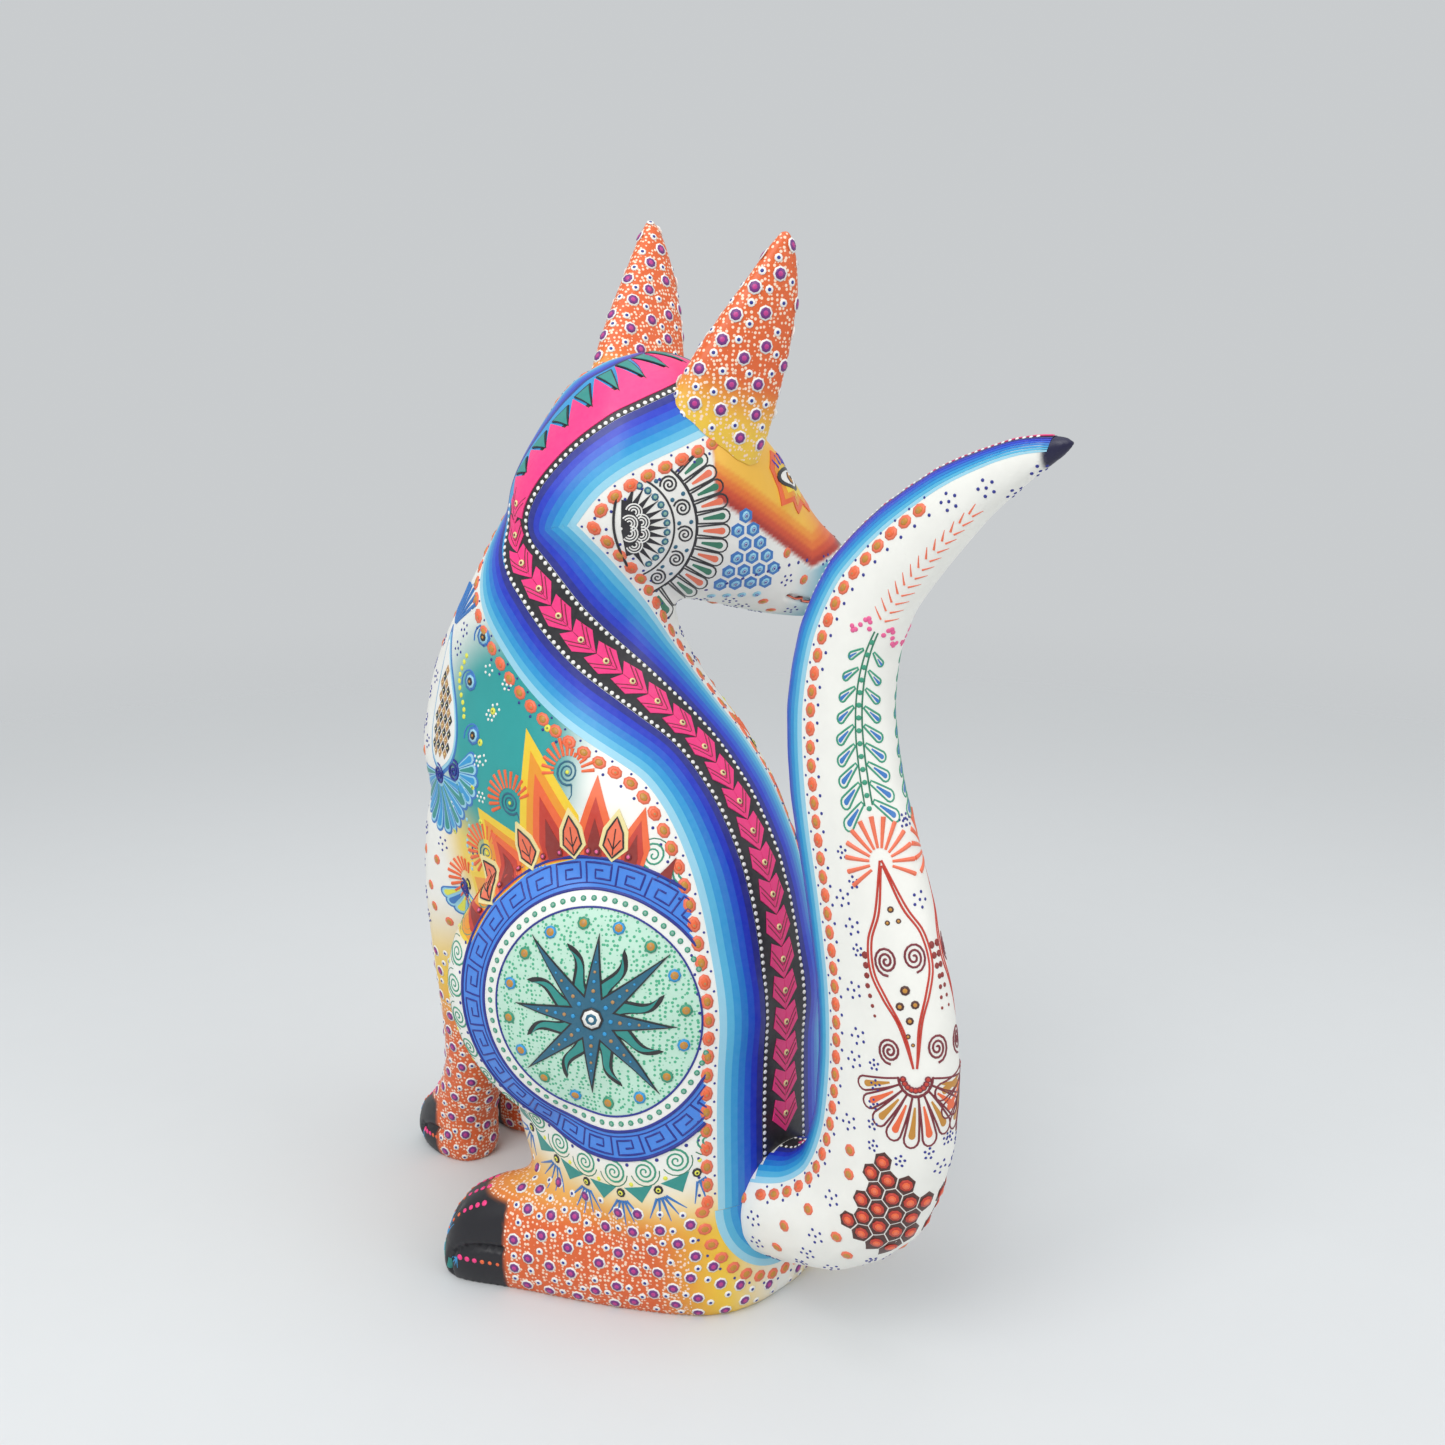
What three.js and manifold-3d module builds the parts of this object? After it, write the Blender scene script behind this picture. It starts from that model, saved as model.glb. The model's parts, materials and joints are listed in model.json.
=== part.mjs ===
// A seated coyote alebrije, carved in copal wood. Millimetres, +Z up.
// The blank is glued up from doweled blocks (torso, head, four legs) and carved as one flowing shape.
// The two ears and the tail are carved apart and plug into the figure on turned pegs, so they pull off.
// The animal faces -Y, its left side is +X, and its head is turned to look over its right shoulder.
import * as THREE from "three";
import { mergeVertices } from "three/addons/utils/BufferGeometryUtils.js";
import Module from "manifold-3d";

const wasm = await Module();
wasm.setup();

// Driving dimensions.
const GAP = 0.3; // between neighbouring pieces, and round every dowel
const NECK_Z = 243; // glue plane between torso and head
const HIND = { x: 34, front: -52, top: 172 }; // planes that bound a hind leg block
const FORE = { back: -52, top: 150 }; // planes that bound a foreleg block
const HEAD_TURN = THREE.MathUtils.degToRad(105); // from straight ahead, towards the animal's right
const HEAD_PIVOT = new THREE.Vector3(-6, -14, 0); // the vertical line the head's own axes start from
const DOWEL_R = 5;
const PEG_R = 5;
const TAIL_PEG_R = 6.5;
const ROUND = 16; // sides of a dowel
const SOLE = 8; // depth of a hind foot below the plane it is sawn flat on
const FAR = 600; // larger than the figure, for cutting boxes

const WOOD = "#d8b98a";
const GESSO = "#f2f0ea";

// Head axes: forward towards the nose, and sideways towards the head's own right.
const FORWARD = new THREE.Vector3(-Math.sin(HEAD_TURN), -Math.cos(HEAD_TURN), 0);
const SIDE = new THREE.Vector3(FORWARD.y, -FORWARD.x, 0);
const UP = new THREE.Vector3(0, 0, 1);

// Sections are given by a few key rows; each column is smoothed along the row number by a spline.
function smoothRows(rows, steps) {
  const columns = rows[0].map((_, c) => {
    const points = rows.map((row, i) => new THREE.Vector3(i, row[c], 0));
    return new THREE.CatmullRomCurve3(points, false, "centripetal");
  });
  return Array.from({ length: steps + 1 }, (_, i) =>
    columns.map((curve) => curve.getPoint(i / steps).y),
  );
}

// A closed skin over rings of a superellipse. Each ring has a centre, two half axes and a power.
function loft(rings, sides) {
  const positions = [];
  for (const ring of rings) {
    for (let i = 0; i < sides; i++) {
      const angle = (2 * Math.PI * i) / sides;
      const c = Math.cos(angle);
      const s = Math.sin(angle);
      const reach = Math.pow(
        Math.pow(Math.abs(c), ring.power) + Math.pow(Math.abs(s), ring.power),
        -1 / ring.power,
      );
      const p = ring.centre.clone();
      p.addScaledVector(ring.across, c * reach);
      p.addScaledVector(ring.along, s * reach);
      positions.push(p.x, p.y, p.z);
    }
  }
  const last = rings.length - 1;
  const start = rings[0].centre;
  const end = rings[last].centre;
  positions.push(start.x, start.y, start.z, end.x, end.y, end.z);
  const startPole = rings.length * sides;
  const index = [];
  for (let j = 0; j < last; j++) {
    for (let i = 0; i < sides; i++) {
      const a = j * sides + i;
      const b = j * sides + ((i + 1) % sides);
      index.push(a, b, b + sides, a, b + sides, a + sides);
    }
  }
  for (let i = 0; i < sides; i++) {
    const next = (i + 1) % sides;
    index.push(startPole, next, i);
    index.push(startPole + 1, last * sides + i, last * sides + next);
  }
  const geometry = new THREE.BufferGeometry();
  geometry.setAttribute("position", new THREE.Float32BufferAttribute(positions, 3));
  geometry.setIndex(index);
  return geometry;
}

// A geometry as a solid, its faces turned outwards.
function solid(geometry) {
  const bare = geometry.clone();
  bare.deleteAttribute("normal");
  bare.deleteAttribute("uv");
  const merged = mergeVertices(bare, 1e-3);
  const triVerts = new Uint32Array(merged.index.array);
  const vertProperties = merged.attributes.position.array;
  const made = new wasm.Manifold(new wasm.Mesh({ numProp: 3, vertProperties, triVerts }));
  if (made.volume() > 0) return made;
  for (let i = 0; i < triVerts.length; i += 3) {
    [triVerts[i + 1], triVerts[i + 2]] = [triVerts[i + 2], triVerts[i + 1]];
  }
  return new wasm.Manifold(new wasm.Mesh({ numProp: 3, vertProperties, triVerts }));
}

// A solid's triangles as a named, coloured mesh.
function piece(name, made, colour, roughness = 0.6) {
  const { numProp, vertProperties, triVerts } = made.getMesh();
  const positions = new Float32Array((vertProperties.length / numProp) * 3);
  for (let i = 0; i < positions.length / 3; i++) {
    positions.set(vertProperties.subarray(i * numProp, i * numProp + 3), i * 3);
  }
  const geometry = new THREE.BufferGeometry();
  geometry.setAttribute("position", new THREE.BufferAttribute(positions, 3));
  geometry.setIndex(new THREE.BufferAttribute(triVerts, 1));
  geometry.computeVertexNormals();
  const material = new THREE.MeshStandardMaterial({ color: colour, roughness, metalness: 0 });
  const mesh = new THREE.Mesh(geometry, material);
  mesh.name = name;
  return mesh;
}

// The box between two corners, as a solid.
function block(low, high) {
  const size = high.clone().sub(low);
  const geometry = new THREE.BoxGeometry(size.x, size.y, size.z);
  geometry.translate(...low.clone().add(high).multiplyScalar(0.5).toArray());
  return solid(geometry);
}

// A round rod from start to end, as a solid.
function rod(start, end, radius) {
  const along = end.clone().sub(start);
  const geometry = new THREE.CylinderGeometry(radius, radius, along.length(), ROUND);
  geometry.applyQuaternion(new THREE.Quaternion().setFromUnitVectors(
    new THREE.Vector3(0, 1, 0),
    along.clone().normalize(),
  ));
  geometry.translate(...start.clone().add(end).multiplyScalar(0.5).toArray());
  return solid(geometry);
}

// The same shape on the animal's other side.
function mirrored(geometry) {
  const twin = geometry.clone();
  twin.scale(-1, 1, 1);
  return twin;
}

// Level rings: each row is height, centre x, centre y, half width, half depth, power.
function levelRings(rows, steps) {
  return smoothRows(rows, steps).map(([z, x, y, halfWidth, halfDepth, power]) => ({
    centre: new THREE.Vector3(x, y, z),
    across: new THREE.Vector3(halfWidth, 0, 0),
    along: new THREE.Vector3(0, halfDepth, 0),
    power,
  }));
}

// Rump, ribs, chest, shoulders and neck, from the ground up.
function torsoShape() {
  const rows = [
    [0, 0, 30, 41, 43, 2.6],
    [6, 0, 28, 46, 47, 2.6],
    [20, 0, 23, 52, 52, 2.5],
    [45, 0, 17, 56, 58, 2.4],
    [80, 0, 10, 57, 64, 2.4],
    [115, 0, 2, 56, 71, 2.4],
    [145, 0, -8, 54, 78, 2.4],
    [172, 0, -21, 53, 82, 2.4],
    [193, 0, -31, 53, 79, 2.4],
    [210, 0, -37, 50.5, 71, 2.3],
    [226, 2, -41, 46, 62, 2.2],
    [242, 5, -40, 42, 52, 2.1],
    [260, 7, -34, 38.5, 42, 2],
    [280, 4, -27, 36.5, 37, 2],
    [300, -2, -20, 34, 34, 2],
    [318, -6, -15, 28, 28, 2],
    [330, -8, -13, 14, 14, 2],
  ];
  return loft(levelRings(rows, 30), 30);
}

// Upright rings along the head's forward line. Each row is distance forward, centre height,
// half height, half width, power.
function headShape() {
  const rows = [
    [-46, 293, 5, 6, 2],
    [-42, 293, 16, 16, 2],
    [-30, 297, 29, 29, 2],
    [-12, 302, 44, 38.5, 2.1],
    [12, 305, 46.5, 41, 2.2],
    [32, 299.5, 44, 38, 2.2],
    [48, 289.5, 38, 32, 2.2],
    [62, 279.5, 31.5, 26.5, 2.2],
    [74, 271.5, 25.5, 22, 2.2],
    [84, 265.5, 20.5, 19, 2.2],
    [93, 263, 16, 16.5, 2.2],
    [99, 262, 11, 12, 2.1],
    [101.5, 262, 4, 5, 2],
  ];
  const rings = smoothRows(rows, 22).map(([forward, z, halfHeight, halfWidth, power]) => ({
    centre: HEAD_PIVOT.clone().addScaledVector(FORWARD, forward).setZ(z),
    across: SIDE.clone().multiplyScalar(halfWidth),
    along: UP.clone().multiplyScalar(halfHeight),
    power,
  }));
  return loft(rings, 26);
}

// Left foreleg, straight and column-like, from the paw to the shoulder.
function forelegShape() {
  const rows = [
    [0, 18, -107, 12.5, 18.5, 2.5],
    [6, 18, -108, 14.5, 21.5, 2.5],
    [18, 18, -107, 14, 20, 2.4],
    [30, 19, -98, 12.8, 15.5, 2.2],
    [50, 21, -89.5, 12, 13, 2],
    [80, 23, -86, 13.5, 15, 2],
    [112, 26, -80, 17, 19, 2],
    [142, 28, -72, 20, 25, 2],
    [172, 27, -64, 22, 29, 2],
    [196, 24, -58, 19, 25, 2],
    [208, 22, -55, 9, 12, 2],
  ];
  return loft(levelRings(rows, 18), 16);
}

// Left thigh, a flattened egg that faces out and back.
const FOOT_LINE = new THREE.Vector3(0.47, -0.883, 0); // from heel to toes, splayed outwards
function thighShape() {
  const geometry = new THREE.SphereGeometry(1, 24, 18);
  geometry.rotateX(Math.PI / 2);
  geometry.scale(28, 64, 58);
  geometry.rotateZ(Math.atan2(FOOT_LINE.x, -FOOT_LINE.y));
  geometry.translate(36, 16, 116);
  return geometry;
}

// Left hind foot, flat on the ground. Each row is distance from the heel,
// half width, height before the sole is sawn flat, power.
function footShape() {
  const heel = new THREE.Vector3(22.5, 55, 0);
  const across = new THREE.Vector3(-FOOT_LINE.y, FOOT_LINE.x, 0);
  const rows = [
    [-8, 6, 20, 2.2],
    [-3, 14, 38, 2.3],
    [16, 19, 52, 2.4],
    [42, 20, 55, 2.5],
    [62, 19, 51, 2.5],
    [78, 18.5, 47, 2.5],
    [92, 18.5, 41, 2.5],
    [101, 15.5, 33, 2.4],
    [105, 9, 20, 2.2],
  ];
  const rings = smoothRows(rows, 14).map(([along, halfWidth, height, power]) => ({
    centre: heel.clone().addScaledVector(FOOT_LINE, along).setZ(height / 2 - SOLE),
    across: across.clone().multiplyScalar(halfWidth),
    along: new THREE.Vector3(0, 0, height / 2),
    power,
  }));
  return loft(rings, 18);
}

// Tail, in the animal's middle plane. Each row is distance back, height, half depth, half width.
function tailShape() {
  const rows = [
    [58, 42, 22, 22],
    [76, 42, 22, 22],
    [98, 47, 22.5, 21],
    [115, 62, 23.5, 19],
    [123, 88, 24, 17.5],
    [124, 115, 24, 16.5],
    [120, 145, 22.5, 15.5],
    [111.5, 178, 20.5, 14.5],
    [103.5, 206, 19, 13.5],
    [100, 234, 17.5, 12.5],
    [103.5, 258, 16.5, 11.5],
    [113, 277, 15.5, 10.5],
    [129, 293.5, 13.5, 9],
    [147, 308, 10.2, 7.2],
    [164, 317.5, 6.8, 5],
    [177, 322, 3.2, 2.6],
    [181, 323, 1, 1],
  ];
  const sampled = smoothRows(rows, 32);
  const rings = sampled.map(([back, height, halfDepth, halfWidth], i) => {
    const before = sampled[Math.max(0, i - 1)];
    const after = sampled[Math.min(sampled.length - 1, i + 1)];
    const run = new THREE.Vector3(0, after[0] - before[0], after[1] - before[1]).normalize();
    return {
      centre: new THREE.Vector3(0, back, height),
      across: new THREE.Vector3(halfWidth, 0, 0),
      along: new THREE.Vector3(0, -run.z, run.y).multiplyScalar(halfDepth),
      power: 2.1,
    };
  });
  return loft(rings, 18);
}

// Ears stand on the skull, lean forward and splay out. side is 1 for the head's right, -1 for its left.
// The head is a little tilted, so the left ear stands higher, and it is carved a little larger.
// Each base is a distance forward, a distance out from the head's middle plane and a height.
const EAR_LENGTH = 80;
const EAR_SPLAY = 23;
const EARS = new Map([
  [1, { base: [19, 29, 317], lean: 20, scale: 1 }],
  [-1, { base: [19, 29, 322], lean: 20, scale: 1.1 }],
]);
function earAxes(side) {
  const ear = EARS.get(side);
  const axis = FORWARD.clone().multiplyScalar(ear.lean).addScaledVector(SIDE, side * EAR_SPLAY);
  axis.setZ(EAR_LENGTH).normalize();
  const thickness = FORWARD.clone().multiplyScalar(-0.12).addScaledVector(SIDE, side);
  thickness.addScaledVector(axis, -thickness.dot(axis)).normalize();
  const width = new THREE.Vector3().crossVectors(axis, thickness).multiplyScalar(side);
  const [forward, out, height] = ear.base;
  const base = HEAD_PIVOT.clone().addScaledVector(FORWARD, forward);
  base.addScaledVector(SIDE, side * out).setZ(height);
  return { axis, thickness, width, base };
}

// Rings up one ear. Each row is distance up, forward shift of the middle, half width, half thickness.
function earRings(side, rows, steps) {
  const { axis, thickness, width, base } = earAxes(side);
  const { scale } = EARS.get(side);
  return smoothRows(rows, steps).map(([up, shift, halfWidth, halfThickness]) => ({
    centre: base.clone().addScaledVector(axis, up * scale).addScaledVector(width, shift),
    across: width.clone().multiplyScalar(halfWidth * scale),
    along: thickness.clone().multiplyScalar(halfThickness * scale),
    power: 2.2,
  }));
}

// A leaf, pointed at the top.
function earShape(side) {
  const rows = [
    [-22, -4, 16, 9],
    [-8, -2.5, 20, 10],
    [8, 0, 21, 9.8],
    [26, 1.5, 19.5, 8.8],
    [44, 2.5, 15.5, 7.2],
    [60, 2.8, 10.5, 5.5],
    [73, 1.8, 5.5, 3.6],
    [EAR_LENGTH, 0.6, 1.6, 1.4],
  ];
  return loft(earRings(side, rows, 15), 16);
}

// The hollow let into the front edge of an ear.
function earHollow(side) {
  const rows = [
    [6, 24, 1, 0.8],
    [12, 23, 8, 4.2],
    [28, 22, 9.5, 5],
    [44, 18.5, 8, 3.8],
    [56, 14.5, 5, 2.2],
    [62, 12, 1, 0.6],
  ];
  return loft(earRings(side, rows, 9), 12);
}

// Everything carved from the glued-up blank, as one solid.
const blank = [
  torsoShape(),
  headShape(),
  forelegShape(),
  mirrored(forelegShape()),
  thighShape(),
  mirrored(thighShape()),
  footShape(),
  mirrored(footShape()),
]
  .map(solid)
  .reduce((whole, next) => whole.add(next));
const figure = blank.subtract(block(new THREE.Vector3(-FAR, -FAR, -FAR), new THREE.Vector3(FAR, FAR, 0)));

// The space that a glued block takes out of the blank, shrunk on the side of every glue plane.
const HALF_GAP = GAP / 2;
function hindBlock(side, margin) {
  const inner = HIND.x + margin;
  return block(
    new THREE.Vector3(side > 0 ? inner : -FAR, HIND.front + margin, -FAR),
    new THREE.Vector3(side > 0 ? FAR : -inner, FAR, HIND.top - margin),
  );
}
function foreBlock(side, margin) {
  return block(
    new THREE.Vector3(side > 0 ? margin : -FAR, -FAR, -FAR),
    new THREE.Vector3(side > 0 ? FAR : -margin, FORE.back - margin, FORE.top - margin),
  );
}
function headBlock(margin) {
  return block(
    new THREE.Vector3(-FAR, -FAR, NECK_Z + margin),
    new THREE.Vector3(FAR, FAR, FAR),
  );
}

// Dowels and pegs: name, the two ends, the radius, and the pieces they are let into.
const v = (x, y, z) => new THREE.Vector3(x, y, z);
function earPegEnds(side) {
  const { axis, base } = earAxes(side);
  return [base.clone().addScaledVector(axis, -20), base.clone().addScaledVector(axis, 30)];
}
const TAIL_PULL = v(0, Math.cos(0.3), Math.sin(0.3)); // back and a little up
const TAIL_SEAT = v(0, 78, 43);
const DOWELS = [
  ["neck_dowel_front", v(6, -50, NECK_Z - 24), v(6, -50, NECK_Z + 24), DOWEL_R, ["torso", "head"]],
  ["neck_dowel_rear", v(4, -18, NECK_Z - 24), v(4, -18, NECK_Z + 24), DOWEL_R, ["torso", "head"]],
  ...[1, -1].flatMap((side) => {
    const name = side > 0 ? "left" : "right";
    const hind = [`${name}_hind_leg`, "torso"];
    const fore = [`${name}_foreleg`, "torso"];
    const x = side * HIND.x;
    return [
      [`${name}_hip_dowel`, v(x - 16, 22, 128), v(x + 16, 22, 128), DOWEL_R, hind],
      [`${name}_knee_dowel`, v(x - 16, 6, 62), v(x + 16, 6, 62), DOWEL_R, hind],
      [`${name}_shoulder_dowel`, v(side * 26, -70, FORE.top - 22), v(side * 26, -70, FORE.top + 22),
        DOWEL_R, fore],
    ];
  }),
  ["right_ear_peg", ...earPegEnds(1), PEG_R, ["right_ear", "head"]],
  ["left_ear_peg", ...earPegEnds(-1), PEG_R, ["left_ear", "head"]],
  ["tail_peg", TAIL_SEAT.clone().addScaledVector(TAIL_PULL, -30),
    TAIL_SEAT.clone().addScaledVector(TAIL_PULL, 26), TAIL_PEG_R, ["tail", "torso"]],
];

// The carved blocks, before their dowel holes.
const carved = new Map();
carved.set("torso", figure
  .subtract(headBlock(-HALF_GAP))
  .subtract(hindBlock(1, -HALF_GAP))
  .subtract(hindBlock(-1, -HALF_GAP))
  .subtract(foreBlock(1, -HALF_GAP))
  .subtract(foreBlock(-1, -HALF_GAP)));
carved.set("head", figure.intersect(headBlock(HALF_GAP)));
carved.set("left_hind_leg", figure.intersect(hindBlock(1, HALF_GAP)));
carved.set("right_hind_leg", figure.intersect(hindBlock(-1, HALF_GAP)));
carved.set("left_foreleg", figure.intersect(foreBlock(1, HALF_GAP)));
carved.set("right_foreleg", figure.intersect(foreBlock(-1, HALF_GAP)));

// The loose pieces sit on the carved surface, so they are cut by it with a gap all round.
const reliefSteps = [v(1, 0, 0), v(-1, 0, 0), v(0, 1, 0), v(0, -1, 0), v(0, 0, 1), v(0, 0, -1)];
function seated(geometry) {
  return reliefSteps.reduce(
    (made, step) => made.subtract(figure.translate(...step.multiplyScalar(GAP).toArray())),
    solid(geometry).subtract(figure),
  );
}
function largest(made) {
  return made.decompose().reduce((best, part) => (part.volume() > best.volume() ? part : best));
}
for (const [name, side] of [["right_ear", 1], ["left_ear", -1]]) {
  carved.set(name, largest(seated(earShape(side)).subtract(solid(earHollow(side)))));
}
carved.set("tail", largest(seated(tailShape())));

const group = new THREE.Group();
for (const [name, start, end, radius, hosts] of DOWELS) {
  group.add(piece(name, rod(start, end, radius), WOOD, 0.8));
  const reach = end.clone().sub(start).normalize().multiplyScalar(GAP);
  const hole = rod(start.clone().sub(reach), end.clone().add(reach), radius + GAP);
  for (const host of hosts) carved.set(host, carved.get(host).subtract(hole));
}
for (const [name, made] of carved) group.add(piece(name, made, GESSO));

// The origin is the middle of the bounding box, on the ground.
const bounds = new THREE.Box3().setFromObject(group);
const middle = bounds.getCenter(new THREE.Vector3());
group.position.set(-middle.x, -middle.y, -bounds.min.z);

export default group;
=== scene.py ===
"""A seated coyote alebrije: carved copal wood under white ground, airbrushed washes and dotted acrylic."""
import json
import logging
import math
from dataclasses import dataclass, field
from enum import Enum
from typing import Callable, Iterable, Optional, Sequence

import bmesh
import bpy
import numpy as np
from mathutils import Matrix, Vector
from mathutils.bvhtree import BVHTree
from mathutils.kdtree import KDTree

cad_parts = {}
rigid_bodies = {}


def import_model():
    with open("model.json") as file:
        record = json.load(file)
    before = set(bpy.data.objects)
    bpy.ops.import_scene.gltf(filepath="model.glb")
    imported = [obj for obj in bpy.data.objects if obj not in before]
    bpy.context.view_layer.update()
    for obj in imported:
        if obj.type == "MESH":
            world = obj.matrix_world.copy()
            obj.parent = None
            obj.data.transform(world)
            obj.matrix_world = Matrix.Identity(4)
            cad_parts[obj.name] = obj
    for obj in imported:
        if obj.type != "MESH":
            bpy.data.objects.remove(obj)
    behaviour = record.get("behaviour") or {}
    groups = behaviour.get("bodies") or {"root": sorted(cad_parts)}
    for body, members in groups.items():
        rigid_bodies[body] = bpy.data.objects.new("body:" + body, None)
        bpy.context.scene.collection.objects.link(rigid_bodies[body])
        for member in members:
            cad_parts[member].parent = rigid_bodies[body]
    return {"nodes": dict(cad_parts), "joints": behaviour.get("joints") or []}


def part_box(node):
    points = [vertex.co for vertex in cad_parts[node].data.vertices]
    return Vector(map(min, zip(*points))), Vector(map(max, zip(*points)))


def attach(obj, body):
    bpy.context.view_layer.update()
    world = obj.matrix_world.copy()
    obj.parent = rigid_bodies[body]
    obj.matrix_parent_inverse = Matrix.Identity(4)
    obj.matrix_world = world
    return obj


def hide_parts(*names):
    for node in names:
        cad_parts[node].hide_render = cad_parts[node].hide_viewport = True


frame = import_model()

logging.basicConfig(level=logging.INFO, format="%(message)s")
LOG = logging.getLogger("alebrije")

MM = 0.001
FIGURE = "figure"
ACRYLIC_IOR = 1.49
Point2 = tuple[float, float]
Site = tuple[Vector, Vector]


# ---------------------------------------------------------------- materials

def linear(hex_colour: str) -> tuple[float, float, float, float]:
    """An sRGB hex colour as linear RGBA."""
    parts = [int(hex_colour[i:i + 2], 16) / 255 for i in (1, 3, 5)]
    low = [c / 12.92 if c <= 0.04045 else ((c + 0.055) / 1.055) ** 2.4 for c in parts]
    return (*low, 1.0)


def add_node(tree: bpy.types.NodeTree, kind: str, settings: Optional[dict] = None, **links) -> bpy.types.Node:
    """Adds a node to a tree.

    Args:
        tree: The tree that gets the node.
        kind: The node's type name.
        settings: Attributes to set on the node.
        **links: Input name (underscores for spaces, or i0, i1 for a place in the list) to a value or a socket.

    Returns:
        The new node.
    """
    node = tree.nodes.new(kind)
    for key, value in (settings or {}).items():
        setattr(node, key, value)
    for key, value in links.items():
        name = key.replace("_", " ")
        socket = node.inputs[int(key[1:])] if key[0] == "i" and key[1:].isdigit() else node.inputs[name]
        if isinstance(value, bpy.types.NodeSocket):
            tree.links.new(value, socket)
        else:
            socket.default_value = value
    return node


def new_material(name: str) -> tuple[bpy.types.Material, bpy.types.NodeTree]:
    """A material with an empty node tree."""
    material = bpy.data.materials.new(name)
    material.use_nodes = True
    material.node_tree.nodes.clear()
    return material, material.node_tree


def finish_shader(tree: bpy.types.NodeTree, colour: bpy.types.NodeSocket, roughness: object, ior: float,
                  height: bpy.types.NodeSocket, strength: float, depth_mm: float) -> None:
    """Ends a material's tree: one shader takes its colour, its roughness and its fine relief.

    Args:
        tree: The material's tree.
        colour: Gives the colour.
        roughness: A value, or the socket that gives it.
        ior: Index of refraction.
        height: Gives the relief, from 0 to 1.
        strength: How much of the relief shows.
        depth_mm: The relief's depth.
    """
    bump = add_node(tree, "ShaderNodeBump", Strength=strength, Distance=depth_mm * MM, Height=height)
    shader = add_node(tree, "ShaderNodeBsdfPrincipled", Base_Color=colour, Roughness=roughness, IOR=ior,
                      Normal=bump.outputs["Normal"])
    add_node(tree, "ShaderNodeOutputMaterial", Surface=shader.outputs["BSDF"])


class Paint(Enum):
    """Acrylic colours out of the tube, brushed or dotted on."""

    WHITE = "#F6F5EF"
    CREAM = "#F3E3A0"
    BLACK = "#17151B"
    PINK = "#FF2F86"
    ROSE = "#F0609A"
    MAGENTA = "#C4308C"
    PURPLE = "#74207E"
    ORANGE = "#F2672F"
    CORAL = "#F4744F"
    GOLD = "#C98A24"
    YELLOW = "#F4CF2A"
    LEMON = "#E9E84A"
    AMBER = "#F09A1C"
    RED = "#C8331D"
    BRICK = "#8E1F16"
    MAROON = "#7A1426"
    BROWN = "#4A1B12"
    NAVY = "#12208C"
    ROYAL = "#0B2FC4"
    COBALT = "#0D55CF"
    AZURE = "#0F7BD0"
    SKY = "#1E9AD8"
    AQUA = "#4FB6DE"
    PALE = "#9AD5EA"
    DENIM = "#2F78C4"
    KEY = "#3F86E6"
    PETROL = "#17627E"
    TEAL = "#1E9088"
    JADE = "#2E9A78"
    GREEN = "#1F7A5A"
    OLIVE = "#8A8F2E"
    SAGE = "#86B3A0"
    TAN = "#B98A52"


@dataclass(frozen=True)
class Acrylic:
    """Brushed artists' acrylic over gesso: a satin film whose tone drifts a little with every stroke.

    Attributes:
        paint: The colour.
        drift: How far the tone drifts, from 0 to 1.
        lift: How much of the drift goes towards white.
        roughness: The film's middle roughness.
        stroke_mm: Width of one patch of tone.
        film_mm: Width of one ripple in the film, drawn coarser than the real one so that it shows.
    """

    paint: Paint
    drift: float = 0.10
    lift: float = 0.35
    roughness: float = 0.36
    stroke_mm: float = 2.2
    film_mm: float = 0.6

    def material(self) -> bpy.types.Material:
        """The material, made once for each colour."""
        name = f"brushed_acrylic_{self.paint.name.lower()}"
        if name in bpy.data.materials:
            return bpy.data.materials[name]
        material, tree = new_material(name)
        place = add_node(tree, "ShaderNodeTexCoord").outputs["Object"]
        patch = add_node(tree, "ShaderNodeTexNoise", Vector=place, Scale=1 / (self.stroke_mm * MM), Detail=2.0)
        base = Vector(linear(self.paint.value)[:3])
        dark = (*(base * (1 - self.drift)), 1)
        light = (*(base * (1 - self.drift) + Vector((1, 1, 1)) * self.drift * self.lift), 1)
        tone = add_node(tree, "ShaderNodeMix", {"data_type": "RGBA"}, i0=patch.outputs["Fac"], i6=dark,
                        i7=light)
        film = add_node(tree, "ShaderNodeTexNoise", Vector=place, Scale=1 / (self.film_mm * MM), Detail=1.0)
        sheen = add_node(tree, "ShaderNodeMapRange", Value=film.outputs["Fac"], To_Min=self.roughness - 0.07,
                         To_Max=self.roughness + 0.09)
        finish_shader(tree, tone.outputs[2], sheen.outputs["Result"], ACRYLIC_IOR, film.outputs["Fac"], 0.12,
                      0.1)
        return material


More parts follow.
